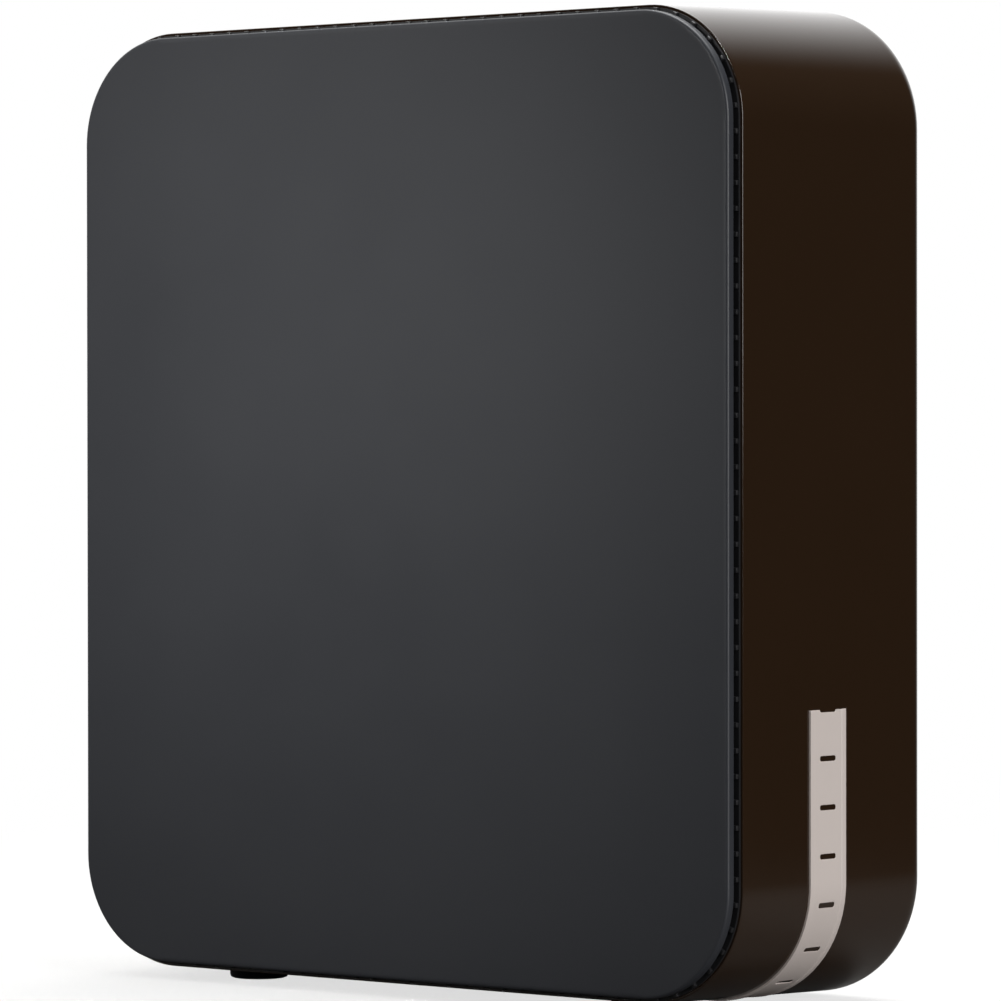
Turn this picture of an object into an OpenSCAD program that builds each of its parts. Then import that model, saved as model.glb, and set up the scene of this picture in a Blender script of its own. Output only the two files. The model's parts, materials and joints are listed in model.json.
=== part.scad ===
// Desktop cellular signal booster with a built-in indoor antenna.
// Millimetres. X to the right, Y to the back (the front cover faces -Y), Z up.
// Origin: on the table, under the middle of the casing.

/* [Casing] */
// Width of the casing at its back
body_w = 172; // [143:0.5:210]
// Height of the casing over its feet
body_h = 194.5; // [162:0.5:240]
// Depth from the crown of the front cover to the back face
body_d = 62.5; // [61:0.5:75]
// Corner radius of the casing, seen from the front
corner_r = 24; // [19:0.5:30]
// Wall of the housing
wall = 3; // [2.4:0.1:3.8]
// How far the housing's walls lean in from the back to the front rim
draft = 1.5; // [0.4:0.1:2]
// Step in from the housing's front rim to the front cover
rim_step = 1.1; // [0.6:0.1:1.6]
// Radius of the rounded back edge
back_r = 5; // [3:0.5:6]
// Step in from the casing's outline to the rear cover
rear_inset = 8; // [7:0.5:10]
// Thickness of the rear cover
rear_t = 2.4; // [1.8:0.1:3]
// Gap under the housing that the feet leave
foot_h = 1; // [0.5:0.1:3]

/* [Front cover and vent ring] */
// Thickness of the cover at its rim
cover_t = 1.9; // [1.6:0.1:3]
// Height of the cover's crown over its rim
crown = 1; // [0.4:0.1:2]
// Gap between cover and housing that the vent ring fills
vent_h = 1.3; // [1:0.1:2.5]
// Pitch of the ribs of the vent ring
rib_pitch = 4.8; // [3:0.1:8]
// Width of one rib
rib_w = 1; // [0.6:0.1:2]
// Thickness of the bulkhead behind the cover
bulkhead_t = 2; // [1.5:0.1:2.5]
// Diameter of the cover's staked pegs
peg_d = 4; // [3:0.1:5]

/* [Base band and feet] */
// Height of the band's ends above the table
band_top = 58.7; // [40:0.1:80]
// Width of the band, from front to back
band_w = 11.8; // [8:0.1:14]
// Depth of the groove that holds the band
groove = 1.5; // [1:0.1:1.8]
// How far the band's middle is in front of the casing's middle
band_fore = 1; // [0:0.1:3]
// How far the band stands proud of the wall
band_proud = 0.3; // [0.1:0.1:0.6]
// Pitch of the slots along the band
slot_pitch = 9.4; // [6:0.1:14]
// Length of a slot across the band
slot_l = 5; // [3:0.1:7]
// Width of a slot
slot_w = 1; // [0.6:0.1:2]
// Diameter of a foot
foot_d = 12; // [8:0.5:14]

/* [Ports] */
// Width of the recess that holds the ports
bay_w = 84; // [80:1:92]
// Height of the recess
bay_h = 30; // [26:1:34]
// Depth of the recess
bay_depth = 13.2; // [11:0.1:14]
// Height of the recess's middle above the table
bay_z = 33; // [30:1:38]
// Radius of the coaxial connector's thread
coax_r = 4.7; // [3.9:0.05:5.7]
// Length of the coaxial connector's free thread
coax_l = 8.2; // [6:0.1:8.2]
// Bore of the power jack
jack_bore = 5.6; // [4.6:0.1:6.8]
// Diameter of the power jack's pin
jack_pin = 2; // [1.6:0.1:2.5]
// Width of the power switch, inside its panel hole
switch_w = 8.4; // [7:0.1:10]
// Height of the power switch, inside its panel hole
switch_h = 13; // [11:0.1:16]
// Turn of the rocker from one stop to the other
rocker_turn = 16; // [10:1:20]

/* [Boards and antenna] */
// Gap from the casing's outline to the boards' sides
board_gap_x = 24; // [23:0.5:30]
// Gap from the casing's outline to the boards' top and bottom
board_gap_z = 25; // [24:0.5:30]
// Thickness of the main board
board_t = 1.6; // [1:0.1:2]
// Depth between the main board and the back face
rear_room = 29.15; // [29:0.05:32]
// Gap from the antenna patch's edges to the board's edges
patch_margin = 16; // [14:0.5:24]
// Gap between the patch and its reflector
patch_gap = 7.2; // [5:0.1:8]
// Gap between the reflector and the main board
standoff_h = 11; // [9:0.1:12]
// Height of the heat sink's fins over its base
fin_h = 15; // [8:0.5:18]
// Thickness of a fin
fin_t = 1.6; // [1:0.1:2.4]
// Number of fins
fins = 13; // [7:2:17]

/* [Fits] */
// Clearance between parts that slip together
slip = 0.15; // [0.1:0.05:0.3]
// Radial clearance of the rocker's pins
running = 0.05; // [0.02:0.01:0.09]
// Radial clearance of screws, nuts and threads
screw_gap = 0.05; // [0.02:0.01:0.1]

/* [Hidden] */
$fn = 48;
corner_fn = 64;
hole_fn = 32;
over = 1;
bond = 0.01;

// Depths, from the front to the back
y_front = -body_d / 2;
y_back = body_d / 2;
y_cover = y_front + crown + cover_t;
y_rim = y_cover + vent_h;
y_bulk = y_rim + bulkhead_t;
y_edge = y_back - back_r;
y_rear_in = y_back - rear_t;
ledge_t = 2.4;
y_ledge = y_rear_in - ledge_t;
y_board_rear = y_back - rear_room;
y_board = y_board_rear - board_t;
reflector_t = 1;
reflector_edge = 2;
y_reflector_rear = y_board - standoff_h;
y_reflector = y_reflector_rear - reflector_t;
y_patch = y_reflector - patch_gap;
patch_t = 0.8;
y_bay = y_back - bay_depth;
bay_wall = 2;
y_bay_in = y_bay - bay_wall;

// Edges of the casing
z_top = foot_h + body_h;
z_mid = foot_h + body_h / 2;
x_side = body_w / 2;
cover_inset = draft + rim_step;

// How far the housing's wall is in from the back outline, at depth y
function lean(y) = draft * (y_edge - y) / (y_edge - y_rim);

// Front cover: pegs near the sides, and near the top and bottom
cover_skin = 1.2;
cover_rim_w = 5;
peg_head = 1;
peg_head_rim = 2;
peg_side = 14;
peg_end = 34;
peg_edge = 13;
peg_x = 24;
peg_places = concat(
    [for (x = [-x_side + peg_side, x_side - peg_side], z = [foot_h + peg_end, z_top - peg_end])
        [x, z]],
    [for (x = [-peg_x, peg_x], z = [foot_h + peg_edge, z_top - peg_edge]) [x, z]]);

// Vent ring
ring_out = draft + rim_step / 2;
ring_w = 4;
ring_t = 0.5;

// Housing: screw pillars, board posts, ledge and air ways
thread_d = 3;
pillar_d = 8;
pillar_edge_x = 18;
pillar_edge_z = 22;
pillars = [for (x = [-x_side + pillar_edge_x, x_side - pillar_edge_x],
    z = [foot_h + pillar_edge_z, z_top - pillar_edge_z]) [x, z]];
pillar_end = 12;
y_pillar = y_back - pillar_end;
pillar_bore = 14;
ledge_w = 3;
air_w = 5;
air_edge_x = 22;
air_edge_z = 21;
air_end_x = 30;
air_end_z = 42;
air_bridge = 10;

// Rear cover
bay_r = 4;
lip_t = 1.2;
lip_h = 2;
head_d = 5.6;
head_h = 2;
head_gap = 0.4;
head_seat = 4;
y_head = y_back - head_seat;
screw_l = 18;
label_w = 60;
label_h = 22;
label_t = 0.2;
label_edge = 30;
label_z = z_top - label_edge;
vent_n = 9;
vent_pitch = 9;
vent_w = 3;
vent_bridge = 8;
vent_over_bay = 22;
vent_under_label = 10;
vent_z0 = bay_z + bay_h / 2 + vent_over_bay;
vent_z1 = label_z - label_h / 2 - vent_under_label;
vent_l = (vent_z1 - vent_z0 - vent_bridge) / 2;

// Base band: the run of its middle line over the right half, from its end to the middle
band_y = -band_fore;
inset_mid = lean(band_y);
band_out = inset_mid - band_proud;
band_in = inset_mid + groove;
band_r = corner_r - inset_mid;
run_side = band_top - foot_h - corner_r;
run_arc = band_r * PI / 2;
run_half = run_side + run_arc + x_side - corner_r;
band_n = round(run_half / slot_pitch);
band_step = run_half / band_n;
band_peg_d = 3;
band_peg_l = 4.5;
band_pegs = [band_step * 1.5, run_half - band_step * 3.5];

// Place on the right half of the band, s along it from its end: x, z and turn
function band_place(s) =
    s <= run_side ? [x_side - inset_mid, band_top - s, 0]
    : s <= run_side + run_arc
        ? let (a = (s - run_side) / run_arc * 90)
            [x_side - corner_r + band_r * cos(a), foot_h + corner_r - band_r * sin(a), a]
        : [run_half - s, foot_h + inset_mid, 90];

// Feet
foot_seat = 1;
foot_t = foot_h + draft + foot_seat;
foot_side = 36;
foot_to_band = 1;
foot_to_edge = 2;
foot_y0 = band_y - band_w / 2 - slip - foot_to_band - foot_d / 2;
foot_y1 = y_edge - foot_to_edge - foot_d / 2;
foot_places = [for (x = [-x_side + foot_side, x_side - foot_side], y = [foot_y0, foot_y1])
    [x, y]];

// Main board and what stands on it
board_w = body_w - 2 * board_gap_x;
board_h = body_h - 2 * board_gap_z;
z_board0 = foot_h + board_gap_z;
z_board1 = z_board0 + board_h;
post_d = 7;
post_edge_x = 10;
post_edge_z = 4;
post_x = board_w / 2 - post_edge_x;
posts = [for (x = [-post_x, post_x], z = [z_board0 + post_edge_z, z_board1 - post_edge_z])
    [x, z]];
post_thread = 8;
stud_d = thread_d - 2 * screw_gap;
board_screw_d = 2.4;
board_head = [5, 1.6];
board_screw_l = 7;
standoff_af = 5;
standoff_bore = 8;

// Heat sink
sink_edge = 14;
sink_foot = 42;
sink_w = board_w - sink_edge;
z_sink0 = z_board0 + sink_foot;
z_sink1 = z_board1 - sink_edge;
sink_z = (z_sink0 + z_sink1) / 2;
sink_h = z_sink1 - z_sink0;
pad_t = 1;
pad_margin = 12;
pad_gap = 8;
sink_base = 3;
y_sink = y_board_rear + pad_t;
y_fins = y_sink + sink_base;
sink_screw_d = 2.5;
sink_head = [5, 2];
sink_nut_t = 2;
sink_nut_af = 5;
sink_screw_past = 2.6;
sink_well_d = 7;
sink_screw_edge = 5;
sink_screws = [for (sx = [-1, 1], sz = [-1, 1])
    [sx * (sink_w / 2 - sink_screw_edge), sink_z + sz * (sink_h / 2 - sink_screw_edge)]];

// Shield cans, each x, z, width, height
can_d = 3.2;
can_wall = 0.5;
lid_t = 0.4;
lid_h = 2.6;
can_gap = 12;
can_edge = 16;
can_w = (board_w - 2 * can_edge - can_gap) / 2;
can_x = (can_w + can_gap) / 2;
can_short = 16;
can_l = sink_h - can_short;
uplink = [-can_x, sink_z, can_w, can_l];
downlink = [can_x, sink_z, can_w, can_l];
supply_up = 29;
supply = [0, z_board0 + supply_up, 60, 26];
dimple_d = 6;
chip = 5;
chip_t = 0.9;
chip_dx = 7;
chip_pitch = 14;
filter = [10, 8, 2.4];
filter_dx = 6;
controller = [10, 1.2];
controller_x = -10;

// Places of the power parts and sockets, near the ports
parts_drop = 8;
parts_z = z_sink0 - parts_drop;
cap_d = 8;
cap_h = 10;
cap_gap = 3;
inductor = [13, 12, 5.5];
inductor_dish = 0.5;
socket_d = 3.4;
socket_h = 2.4;
donor_socket = [-44, bay_z + 25];
header = [26, bay_z + 25];
header_size = [8, 6, 5];
header_pin_x = 2.5;
led = [36, bay_z + 23];
led_d = 3;
led_h = 4.6;
pipe_gap = 0.3;
pipe_flange = [2, 1.5];

// Antenna
patch_w = board_w - 2 * patch_margin;
patch_h = board_h - 2 * patch_margin;
z_patch1 = z_mid + patch_h / 2;
spacer_d = 6;
nylon_d = 2.5;
nylon_head = 1.5;
nylon_nut = 1.8;
nylon_past = 0.4;
spacer_edge = 10;
spacers = [for (sx = [-1, 1], sz = [-1, 1])
    [sx * (patch_w / 2 - spacer_edge), z_mid + sz * (patch_h / 2 - spacer_edge)]];
tune_x = 20;
tune_w = 3;
tune_l = 40;
feed_drop = 14;
feed_z = z_patch1 - feed_drop;
feed_h = 1;
feed_d = 4;
feed_hole_d = 6;
ant_socket_z = z_board1 - feed_drop;

// Coaxial connector
coax_x = -26;
coax_bore = 2 * coax_r - 3;
shank_d = 2 * coax_r + 1;
shank_hole_d = shank_d + 2 * screw_gap;
coax_af = shank_d + 2.6;
coax_flange = 2.5;
coax_tail = 4;
washer_t = 0.6;
washer_rim = 2.8;
nut_t = 2.2;
pin_d = 1.9;
pin_bore = 1;
pin_bore_l = 8;
insulator_short = 1;
pin_short = 1.2;
y_thread = y_bay + washer_t + nut_t;
y_tip = y_thread + coax_l;

// Power jack
jack_x = 0;
jack_d = jack_bore + 2.3;
jack_bezel_d = jack_d + 3.1;
jack_bezel = 2;
jack_back = 6;
jack_depth = 9.5;
y_jack = y_bay + jack_bezel;
jack_nut_t = 2;
jack_tab_x = jack_d / 2 - 1.4;
jack_tab_h = 3;
tab_l = 4;
tab_t = 0.6;

// Power switch
switch_x = 24;
switch_bezel = 1.8;
bezel_rim = 1;
switch_wall = 0.8;
switch_back = 6;
switch_tab_z = 3.5;
switch_tab_w = 4;
pivot_d = 1.6;
rocker_r = switch_h / 2 - switch_wall - slip;
rocker_w = switch_w - 2 * switch_wall - 2 * slip;
rocker_top = 3.6;
rocker_dip = 0.8;
y_switch = y_bay + switch_bezel;
pivot_sink = 0.3;
y_pivot = y_bay - pivot_sink;

// Inner leads
coax_lead_d = 1.8;
lead_d = 1.2;
end_gap = 0.1;
forward = [0, -1, 0];
backward = [0, 1, 0];

// ---------------------------------------------------------------- shared shapes

// Rounded rectangle about the origin, with true arcs
module round_rect(w, h, r, fn = hole_fn) {
    square([w - 2 * r, h], center = true);
    square([w, h - 2 * r], center = true);
    for (sx = [-1, 1], sy = [-1, 1])
        translate([sx * (w / 2 - r), sy * (h / 2 - r)])
            circle(r = r, $fn = fn);
}

// The casing's outline, moved in by inset
module outline(inset) {
    translate([0, z_mid])
        round_rect(body_w - 2 * inset, body_h - 2 * inset, max(corner_r - inset, 3), corner_fn);
}

// Extrudes a drawing in X and Z from depth y0 to depth y1
module along_y(y0, y1) {
    translate([0, y1, 0]) rotate([90, 0, 0]) linear_extrude(y1 - y0) children();
}

// A slab of the casing's outline
module slab(inset, y0, y1) {
    along_y(y0, y1) outline(inset);
}

// A round bar along Y, from y0 to y1, at p = [x, z]
module rod(p, d, y0, y1, fn = hole_fn) {
    translate([p[0], y0, p[1]]) rotate([-90, 0, 0]) cylinder(d = d, h = y1 - y0, $fn = fn);
}

// A hexagonal bar along Y, of af across its flats
module hex_rod(p, af, y0, y1) {
    rod(p, af / cos(30), y0, y1, 6);
}

// A box by its middle p = [x, z], its width and height and its two depths
module block(p, w, h, y0, y1) {
    translate([p[0] - w / 2, y0, p[1] - h / 2]) cube([w, y1 - y0, h]);
}

// A screw that is driven from the back: its head stands on depth y, its shank is l long
module back_screw(p, d, head_d, head_h, y, l) {
    difference() {
        union() {
            rod(p, head_d, y, y + head_h);
            rod(p, d, y - l, y + bond);
        }
        hex_rod(p, d - 0.8, y + head_h / 2, y + head_h + over);
    }
}

// Sweeps a round lead of diameter d along points, as one closed tube
function unit(v) = v / norm(v);
function heading(p, i) = unit(p[min(i + 1, len(p) - 1)] - p[max(i - 1, 0)]);
function normal(t) = unit(cross(t, abs(t[0]) < 0.9 ? [1, 0, 0] : [0, 1, 0]));
module lead(points, d, sides = 8) {
    n = len(points);
    rings = [for (i = [0:n - 1]) let (t = heading(points, i), u = normal(t), v = cross(t, u))
        for (k = [0:sides - 1]) let (a = 360 * k / sides)
            points[i] + d / 2 * (cos(a) * u + sin(a) * v)];
    walls = [for (i = [0:n - 2], k = [0:sides - 1]) let (m = (k + 1) % sides)
        [i * sides + k, i * sides + m, (i + 1) * sides + m, (i + 1) * sides + k]];
    first = [for (k = [sides - 1:-1:0]) k];
    last = [for (k = [0:sides - 1]) (n - 1) * sides + k];
    polyhedron(points = rings, faces = concat([first], walls, [last]));
}

// Points of the cubic curve from a to d that heads for b and comes from c
function curve(a, b, c, d, n = 14) = [for (i = [0:n]) let (t = i / n, s = 1 - t)
    s * s * s * a + 3 * s * s * t * b + 3 * s * t * t * c + t * t * t * d];

// Route of a lead from a to b: straight for sa along da, curved, and straight for sb along db
function route(a, da, sa, b, db, sb, pull) = concat([a],
    curve(a + sa * da, a + (sa + pull) * da, b + (sb + pull) * db, b + sb * db), [b]);

// ---------------------------------------------------------------- casing

module front_cover() {
    color("#3d3e42") {
        difference() {
            hull() {
                slab(cover_inset, y_cover - cover_t / 2, y_cover);
                slab(cover_inset + 0.3, y_front + crown + 0.25, y_cover);
                slab(cover_inset + 1, y_front + crown * 0.92, y_cover);
                slab(cover_inset + 14, y_front + crown * 0.5, y_cover);
                slab(cover_inset + 34, y_front + crown * 0.15, y_cover);
                slab(cover_inset + 60, y_front, y_cover);
            }
            slab(cover_inset + cover_rim_w, y_cover - cover_t + cover_skin, y_cover + over);
        }
        for (p = peg_places) {
            rod(p, peg_d, y_cover - cover_t + cover_skin - bond, y_bulk + bond);
            rod(p, peg_d + peg_head_rim, y_bulk, y_bulk + peg_head);
        }
    }
}

// One rib across the vent ring, at x, z, turned by a
module vent_rib(x, z, a) {
    translate([x, z]) rotate(a) translate([-ring_w, -rib_w / 2]) square([ring_w - bond, rib_w]);
}

module vent_ring() {
    w = x_side - ring_out;
    h = body_h / 2 - ring_out;
    r = corner_r - ring_out;
    n_top = round((w - r) / rib_pitch);
    n_side = round((h - r) / rib_pitch);
    n_arc = round(r * PI / 2 / rib_pitch);
    color("#1b1b1d") {
        along_y(y_rim - ring_t, y_rim) difference() {
            outline(ring_out);
            outline(ring_out + ring_w);
        }
        along_y(y_cover, y_rim - ring_t / 2) translate([0, z_mid])
            for (mx = [0, 1], mz = [0, 1]) mirror([mx, 0]) mirror([0, mz]) {
                for (i = [0:n_top - 1]) vent_rib((i + 0.5) * (w - r) / n_top, h, 90);
                for (i = [0:n_side - 1]) vent_rib(w, (i + 0.5) * (h - r) / n_side, 0);
                for (i = [0:n_arc - 1]) {
                    a = (i + 0.5) * 90 / n_arc;
                    vent_rib(w - r + r * cos(a), h - r + r * sin(a), a);
                }
            }
    }
}

// Outside of the housing, with its rounded back edge
module housing_bulk() {
    hull() {
        slab(draft, y_rim, y_rim + bond);
        for (a = [0, 18, 36, 54, 72, 90])
            slab(back_r * (1 - cos(a)), y_edge - bond, y_edge + back_r * sin(a));
    }
}

// Three slots in a row through the bulkhead, along X or Z, filling a run about p
module air_ways(p, run, along_x) {
    l = (run - 2 * air_bridge) / 3;
    for (i = [-1:1]) {
        c = p + i * (l + air_bridge) * (along_x ? [1, 0] : [0, 1]);
        block(c, along_x ? l : air_w, along_x ? air_w : l, y_rim - over, y_bulk + over);
    }
}

// The U that the band follows: between two insets, below height top
module band_u(from_inset, to_inset, top) {
    intersection() {
        difference() {
            outline(from_inset);
            outline(to_inset);
        }
        translate([-body_w, -over]) square([2 * body_w, top + over]);
    }
}

// One slot across the band, cut to depth on each side of the wall's surface
module band_slot(s, l, w, depth) {
    p = band_place(s);
    translate([p[0], band_y, p[1]]) rotate([0, p[2], 0]) {
        cube([2 * depth, l - w, w], center = true);
        for (sy = [-1, 1])
            translate([0, sy * (l - w) / 2, 0]) rotate([0, 90, 0])
                cylinder(d = w, h = 2 * depth, center = true, $fn = 24);
    }
}

// The band's four pegs, of diameter d and length l
module band_peg_set(d, l) {
    for (mx = [0, 1], s = band_pegs) mirror([mx, 0, 0]) {
        p = band_place(s);
        translate([p[0], band_y, p[1]]) rotate([0, p[2] - 90, 0])
            cylinder(d = d, h = l, $fn = 24);
    }
}

module main_housing() {
    color("#2a1e19") difference() {
        union() {
            difference() {
                housing_bulk();
                hull() {
                    slab(wall, y_ledge - bond, y_ledge);
                    slab(wall + draft, y_bulk, y_bulk + bond);
                }
                slab(rear_inset + ledge_w, y_ledge - over, y_back + over);
                slab(rear_inset, y_rear_in, y_back + over);
            }
            for (p = pillars) rod(p, pillar_d, y_bulk - over, y_pillar);
            for (p = posts) rod(p, post_d, y_bulk - over, y_reflector);
        }
        for (p = pillars) rod(p, thread_d, y_pillar - pillar_bore, y_pillar + over);
        for (p = posts) rod(p, thread_d, y_reflector - post_thread, y_reflector + over);
        for (p = peg_places) rod(p, peg_d + 2 * slip, y_rim - over, y_bulk + over);
        for (s = [-1, 1]) {
            air_ways([0, z_mid + s * (body_h / 2 - air_edge_z)], body_w - 2 * air_end_x, true);
            air_ways([s * (x_side - air_edge_x), z_mid], body_h - 2 * air_end_z, false);
        }
        along_y(band_y - band_w / 2 - slip, band_y + band_w / 2 + slip)
            band_u(-over, band_in, band_top + slip);
        band_peg_set(band_peg_d + 2 * slip, 2 * wall);
        for (mx = [0, 1], i = [0:band_n - mx]) mirror([mx, 0, 0])
            if (i * band_step > run_side + run_arc + slot_w)
                band_slot(i * band_step, slot_l + 2 * slip, slot_w + 2 * slip, wall + over);
        for (p = foot_places)
            translate([p[0], p[1], -over]) cylinder(d = foot_d, h = foot_t + over, $fn = 48);
    }
}

module base_band() {
    color("#c6beb9") difference() {
        union() {
            along_y(band_y - band_w / 2, band_y + band_w / 2) band_u(band_out, band_in, band_top);
            band_peg_set(band_peg_d, band_peg_l);
        }
        for (mx = [0, 1], i = [0:band_n - mx]) mirror([mx, 0, 0])
            band_slot(i * band_step, slot_l, slot_w, groove + over);
    }
}

module foot_pads() {
    color("#26262a") for (p = foot_places)
        translate([p[0], p[1], 0]) cylinder(d = foot_d, h = foot_t, $fn = 48);
}

// Through holes of the rear cover
module rear_holes() {
    rod([coax_x, bay_z], shank_hole_d, y_bay_in - over, y_bay + over);
    rod([jack_x, bay_z], jack_d + 2 * screw_gap, y_bay_in - over, y_bay + over);
    block([switch_x, bay_z], switch_w + 2 * slip, switch_h + 2 * slip,
        y_bay_in - over, y_bay + over);
    rod(led, led_d + 2 * screw_gap, y_rear_in - over, y_back + over);
    for (p = pillars) {
        rod(p, thread_d + head_gap, y_pillar - over, y_head + over);
        rod(p, head_d + 2 * head_gap, y_head, y_back + over);
    }
    for (i = [0:vent_n - 1], z = [vent_z0 + vent_l / 2, vent_z1 - vent_l / 2])
        block([(i - (vent_n - 1) / 2) * vent_pitch, z], vent_w, vent_l,
            y_rear_in - over, y_back + over);
}

module rear_cover() {
    color("#241a16") difference() {
        union() {
            slab(rear_inset + slip, y_rear_in, y_back);
            difference() {
                slab(rear_inset + ledge_w + slip, y_rear_in - lip_h, y_rear_in + bond);
                slab(rear_inset + ledge_w + slip + lip_t, y_rear_in - lip_h - over, y_back);
            }
            along_y(y_bay_in, y_rear_in + bond) translate([0, bay_z])
                round_rect(bay_w + 2 * bay_wall, bay_h + 2 * bay_wall, bay_r + bay_wall);
            for (p = pillars) rod(p, pillar_d, y_pillar, y_rear_in + bond);
        }
        along_y(y_bay, y_back + over) translate([0, bay_z]) round_rect(bay_w, bay_h, bay_r);
        block([0, label_z], label_w + 2 * slip, label_h + 2 * slip, y_back - label_t,
            y_back + over);
        rear_holes();
    }
}

module rating_label() {
    color("#b9bbbd") block([0, label_z], label_w, label_h, y_back - label_t, y_back);
}

module cover_screws() {
    color("#3a3a3c") for (p = pillars)
        back_screw(p, thread_d - 2 * screw_gap, head_d, head_h, y_head, screw_l);
}

// ---------------------------------------------------------------- antenna

module patch_antenna() {
    color("#c9a25a") difference() {
        union() {
            block([0, z_mid], patch_w, patch_h, y_patch - patch_t, y_patch);
            rod([0, feed_z], feed_d, y_patch - bond, y_patch + feed_h);
        }
        for (p = spacers)
            rod(p, nylon_d + 2 * screw_gap, y_patch - patch_t - over, y_patch + over);
        for (x = [-tune_x, tune_x])
            block([x, z_mid], tune_w, tune_l, y_patch - patch_t - over, y_patch + over);
    }
}

module antenna_spacers() {
    color("#e8e6e0") for (p = spacers) difference() {
        rod(p, spacer_d, y_patch, y_reflector);
        rod(p, nylon_d + 2 * screw_gap, y_patch - over, y_reflector + over);
    }
}

module antenna_screws() {
    color("#f2f0ea") for (p = spacers) {
        rod(p, spacer_d - 1, y_patch - patch_t - nylon_head, y_patch - patch_t);
        rod(p, nylon_d, y_patch - patch_t - bond, y_reflector_rear + nylon_nut + nylon_past);
    }
}

module antenna_nuts() {
    color("#f2f0ea") for (p = spacers) difference() {
        hex_rod(p, 2 * nylon_d, y_reflector_rear, y_reflector_rear + nylon_nut);
        rod(p, nylon_d + 2 * screw_gap, y_reflector, y_reflector_rear + nylon_nut + over);
    }
}

module reflector_plate() {
    color("#b8bcc0") difference() {
        block([0, z_mid], board_w - 2 * reflector_edge, board_h, y_reflector, y_reflector_rear);
        for (p = posts)
            rod(p, thread_d + 2 * screw_gap, y_reflector - over, y_reflector_rear + over);
        for (p = spacers)
            rod(p, nylon_d + 2 * screw_gap, y_reflector - over, y_reflector_rear + over);
        rod([0, feed_z], feed_hole_d, y_reflector - over, y_reflector_rear + over);
    }
}

// ---------------------------------------------------------------- main board

module board_standoffs() {
    color("#c8a860") for (p = posts) difference() {
        union() {
            hex_rod(p, standoff_af, y_reflector_rear, y_board);
            rod(p, stud_d, y_reflector - post_thread + over, y_reflector_rear + bond);
        }
        rod(p, board_screw_d + 2 * screw_gap, y_board - standoff_bore, y_board + over);
    }
}

module main_board() {
    color("#1f4a34") difference() {
        block([0, z_mid], board_w, board_h, y_board, y_board_rear);
        for (p = posts)
            rod(p, board_screw_d + 2 * slip, y_board - over, y_board_rear + over);
        for (p = sink_screws)
            rod(p, sink_screw_d + 2 * slip, y_board - over, y_board_rear + over);
    }
}

module board_screws() {
    color("#8d9093") for (p = posts)
        back_screw(p, board_screw_d, board_head[0], board_head[1], y_board_rear, board_screw_l);
}

// Soldered frame of one shield can; can is x, z, width, height
module can_frame(can) {
    difference() {
        block(can, can[2], can[3], y_board - can_d, y_board);
        block(can, can[2] - 2 * can_wall, can[3] - 2 * can_wall,
            y_board - can_d - over, y_board + over);
    }
}

// Clipped lid of one shield can, with a round dimple
module can_lid(can) {
    y_lid = y_board - can_d - lid_t;
    inner = 2 * screw_gap;
    outer = 2 * (screw_gap + lid_t);
    color("#aeb2b4") difference() {
        block(can, can[2] + outer, can[3] + outer, y_lid, y_lid + lid_h);
        block(can, can[2] + inner, can[3] + inner, y_board - can_d, y_board);
        rod(can, dimple_d, y_lid - over, y_lid + lid_t / 4);
    }
}

module shield_frames() {
    color("#9a9ea0") for (can = [uplink, downlink, supply]) can_frame(can);
}

module shield_lid_uplink() can_lid(uplink);
module shield_lid_downlink() can_lid(downlink);
module shield_lid_power() can_lid(supply);

module amplifier_chips() {
    color("#202124") for (can = [uplink, downlink], row = [-1:1])
        block([can[0] - chip_dx, can[1] + row * chip_pitch], chip, chip, y_board - chip_t, y_board);
}

module duplexer_filters() {
    color("#cfc7b4") for (can = [uplink, downlink], row = [-1, 1])
        block([can[0] + filter_dx, can[1] + row * chip_pitch / 2], filter[0], filter[1],
            y_board - filter[2], y_board);
}

module controller_chip() {
    color("#202124") block([controller_x, supply[1]], controller[0], controller[0],
        y_board - controller[1], y_board);
}

module power_capacitors() {
    color("#30343c") for (i = [0:2])
        rod([(i - 2) * (cap_d + cap_gap), parts_z], cap_d, y_board_rear, y_board_rear + cap_h);
}

module power_inductor() {
    color("#3b3b3b") difference() {
        block([inductor[0], parts_z], inductor[1], inductor[1],
            y_board_rear, y_board_rear + inductor[2]);
        rod([inductor[0], parts_z], inductor[1] / 2,
            y_board_rear + inductor[2] - inductor_dish, y_board_rear + inductor[2] + over);
    }
}

module thermal_pads() {
    w = (sink_w - pad_gap) / 2 - pad_margin;
    color("#8fa7b8") for (s = [-1, 1])
        block([s * (pad_gap + w) / 2, sink_z], w, sink_h - 2 * pad_margin, y_board_rear, y_sink);
}

module heat_sink() {
    step = (sink_w - fin_t) / (fins - 1);
    color("#25272a") difference() {
        union() {
            block([0, sink_z], sink_w, sink_h, y_sink, y_fins);
            for (i = [0:fins - 1])
                block([(fin_t - sink_w) / 2 + i * step, sink_z], fin_t, sink_h,
                    y_fins - bond, y_fins + fin_h);
        }
        for (p = sink_screws) {
            rod(p, sink_screw_d + 2 * slip, y_sink - over, y_fins + over);
            rod(p, sink_well_d, y_fins, y_fins + fin_h + over);
        }
    }
}

module heat_sink_screws() {
    color("#8d9093") for (p = sink_screws)
        back_screw(p, sink_screw_d, sink_head[0], sink_head[1], y_fins,
            y_fins - y_board + sink_screw_past);
}

module heat_sink_nuts() {
    color("#8d9093") for (p = sink_screws) difference() {
        hex_rod(p, sink_nut_af, y_board - sink_nut_t, y_board);
        rod(p, sink_screw_d + 2 * screw_gap, y_board - sink_nut_t - over, y_board + over);
    }
}

module board_sockets() {
    color("#c8b070") {
        rod([0, ant_socket_z], socket_d, y_board - socket_h, y_board);
        rod(donor_socket, socket_d, y_board_rear, y_board_rear + socket_h);
    }
    color("#e5e2d8") block(header, header_size[0], header_size[1],
        y_board_rear, y_board_rear + header_size[2]);
}

// ---------------------------------------------------------------- ports

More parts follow.
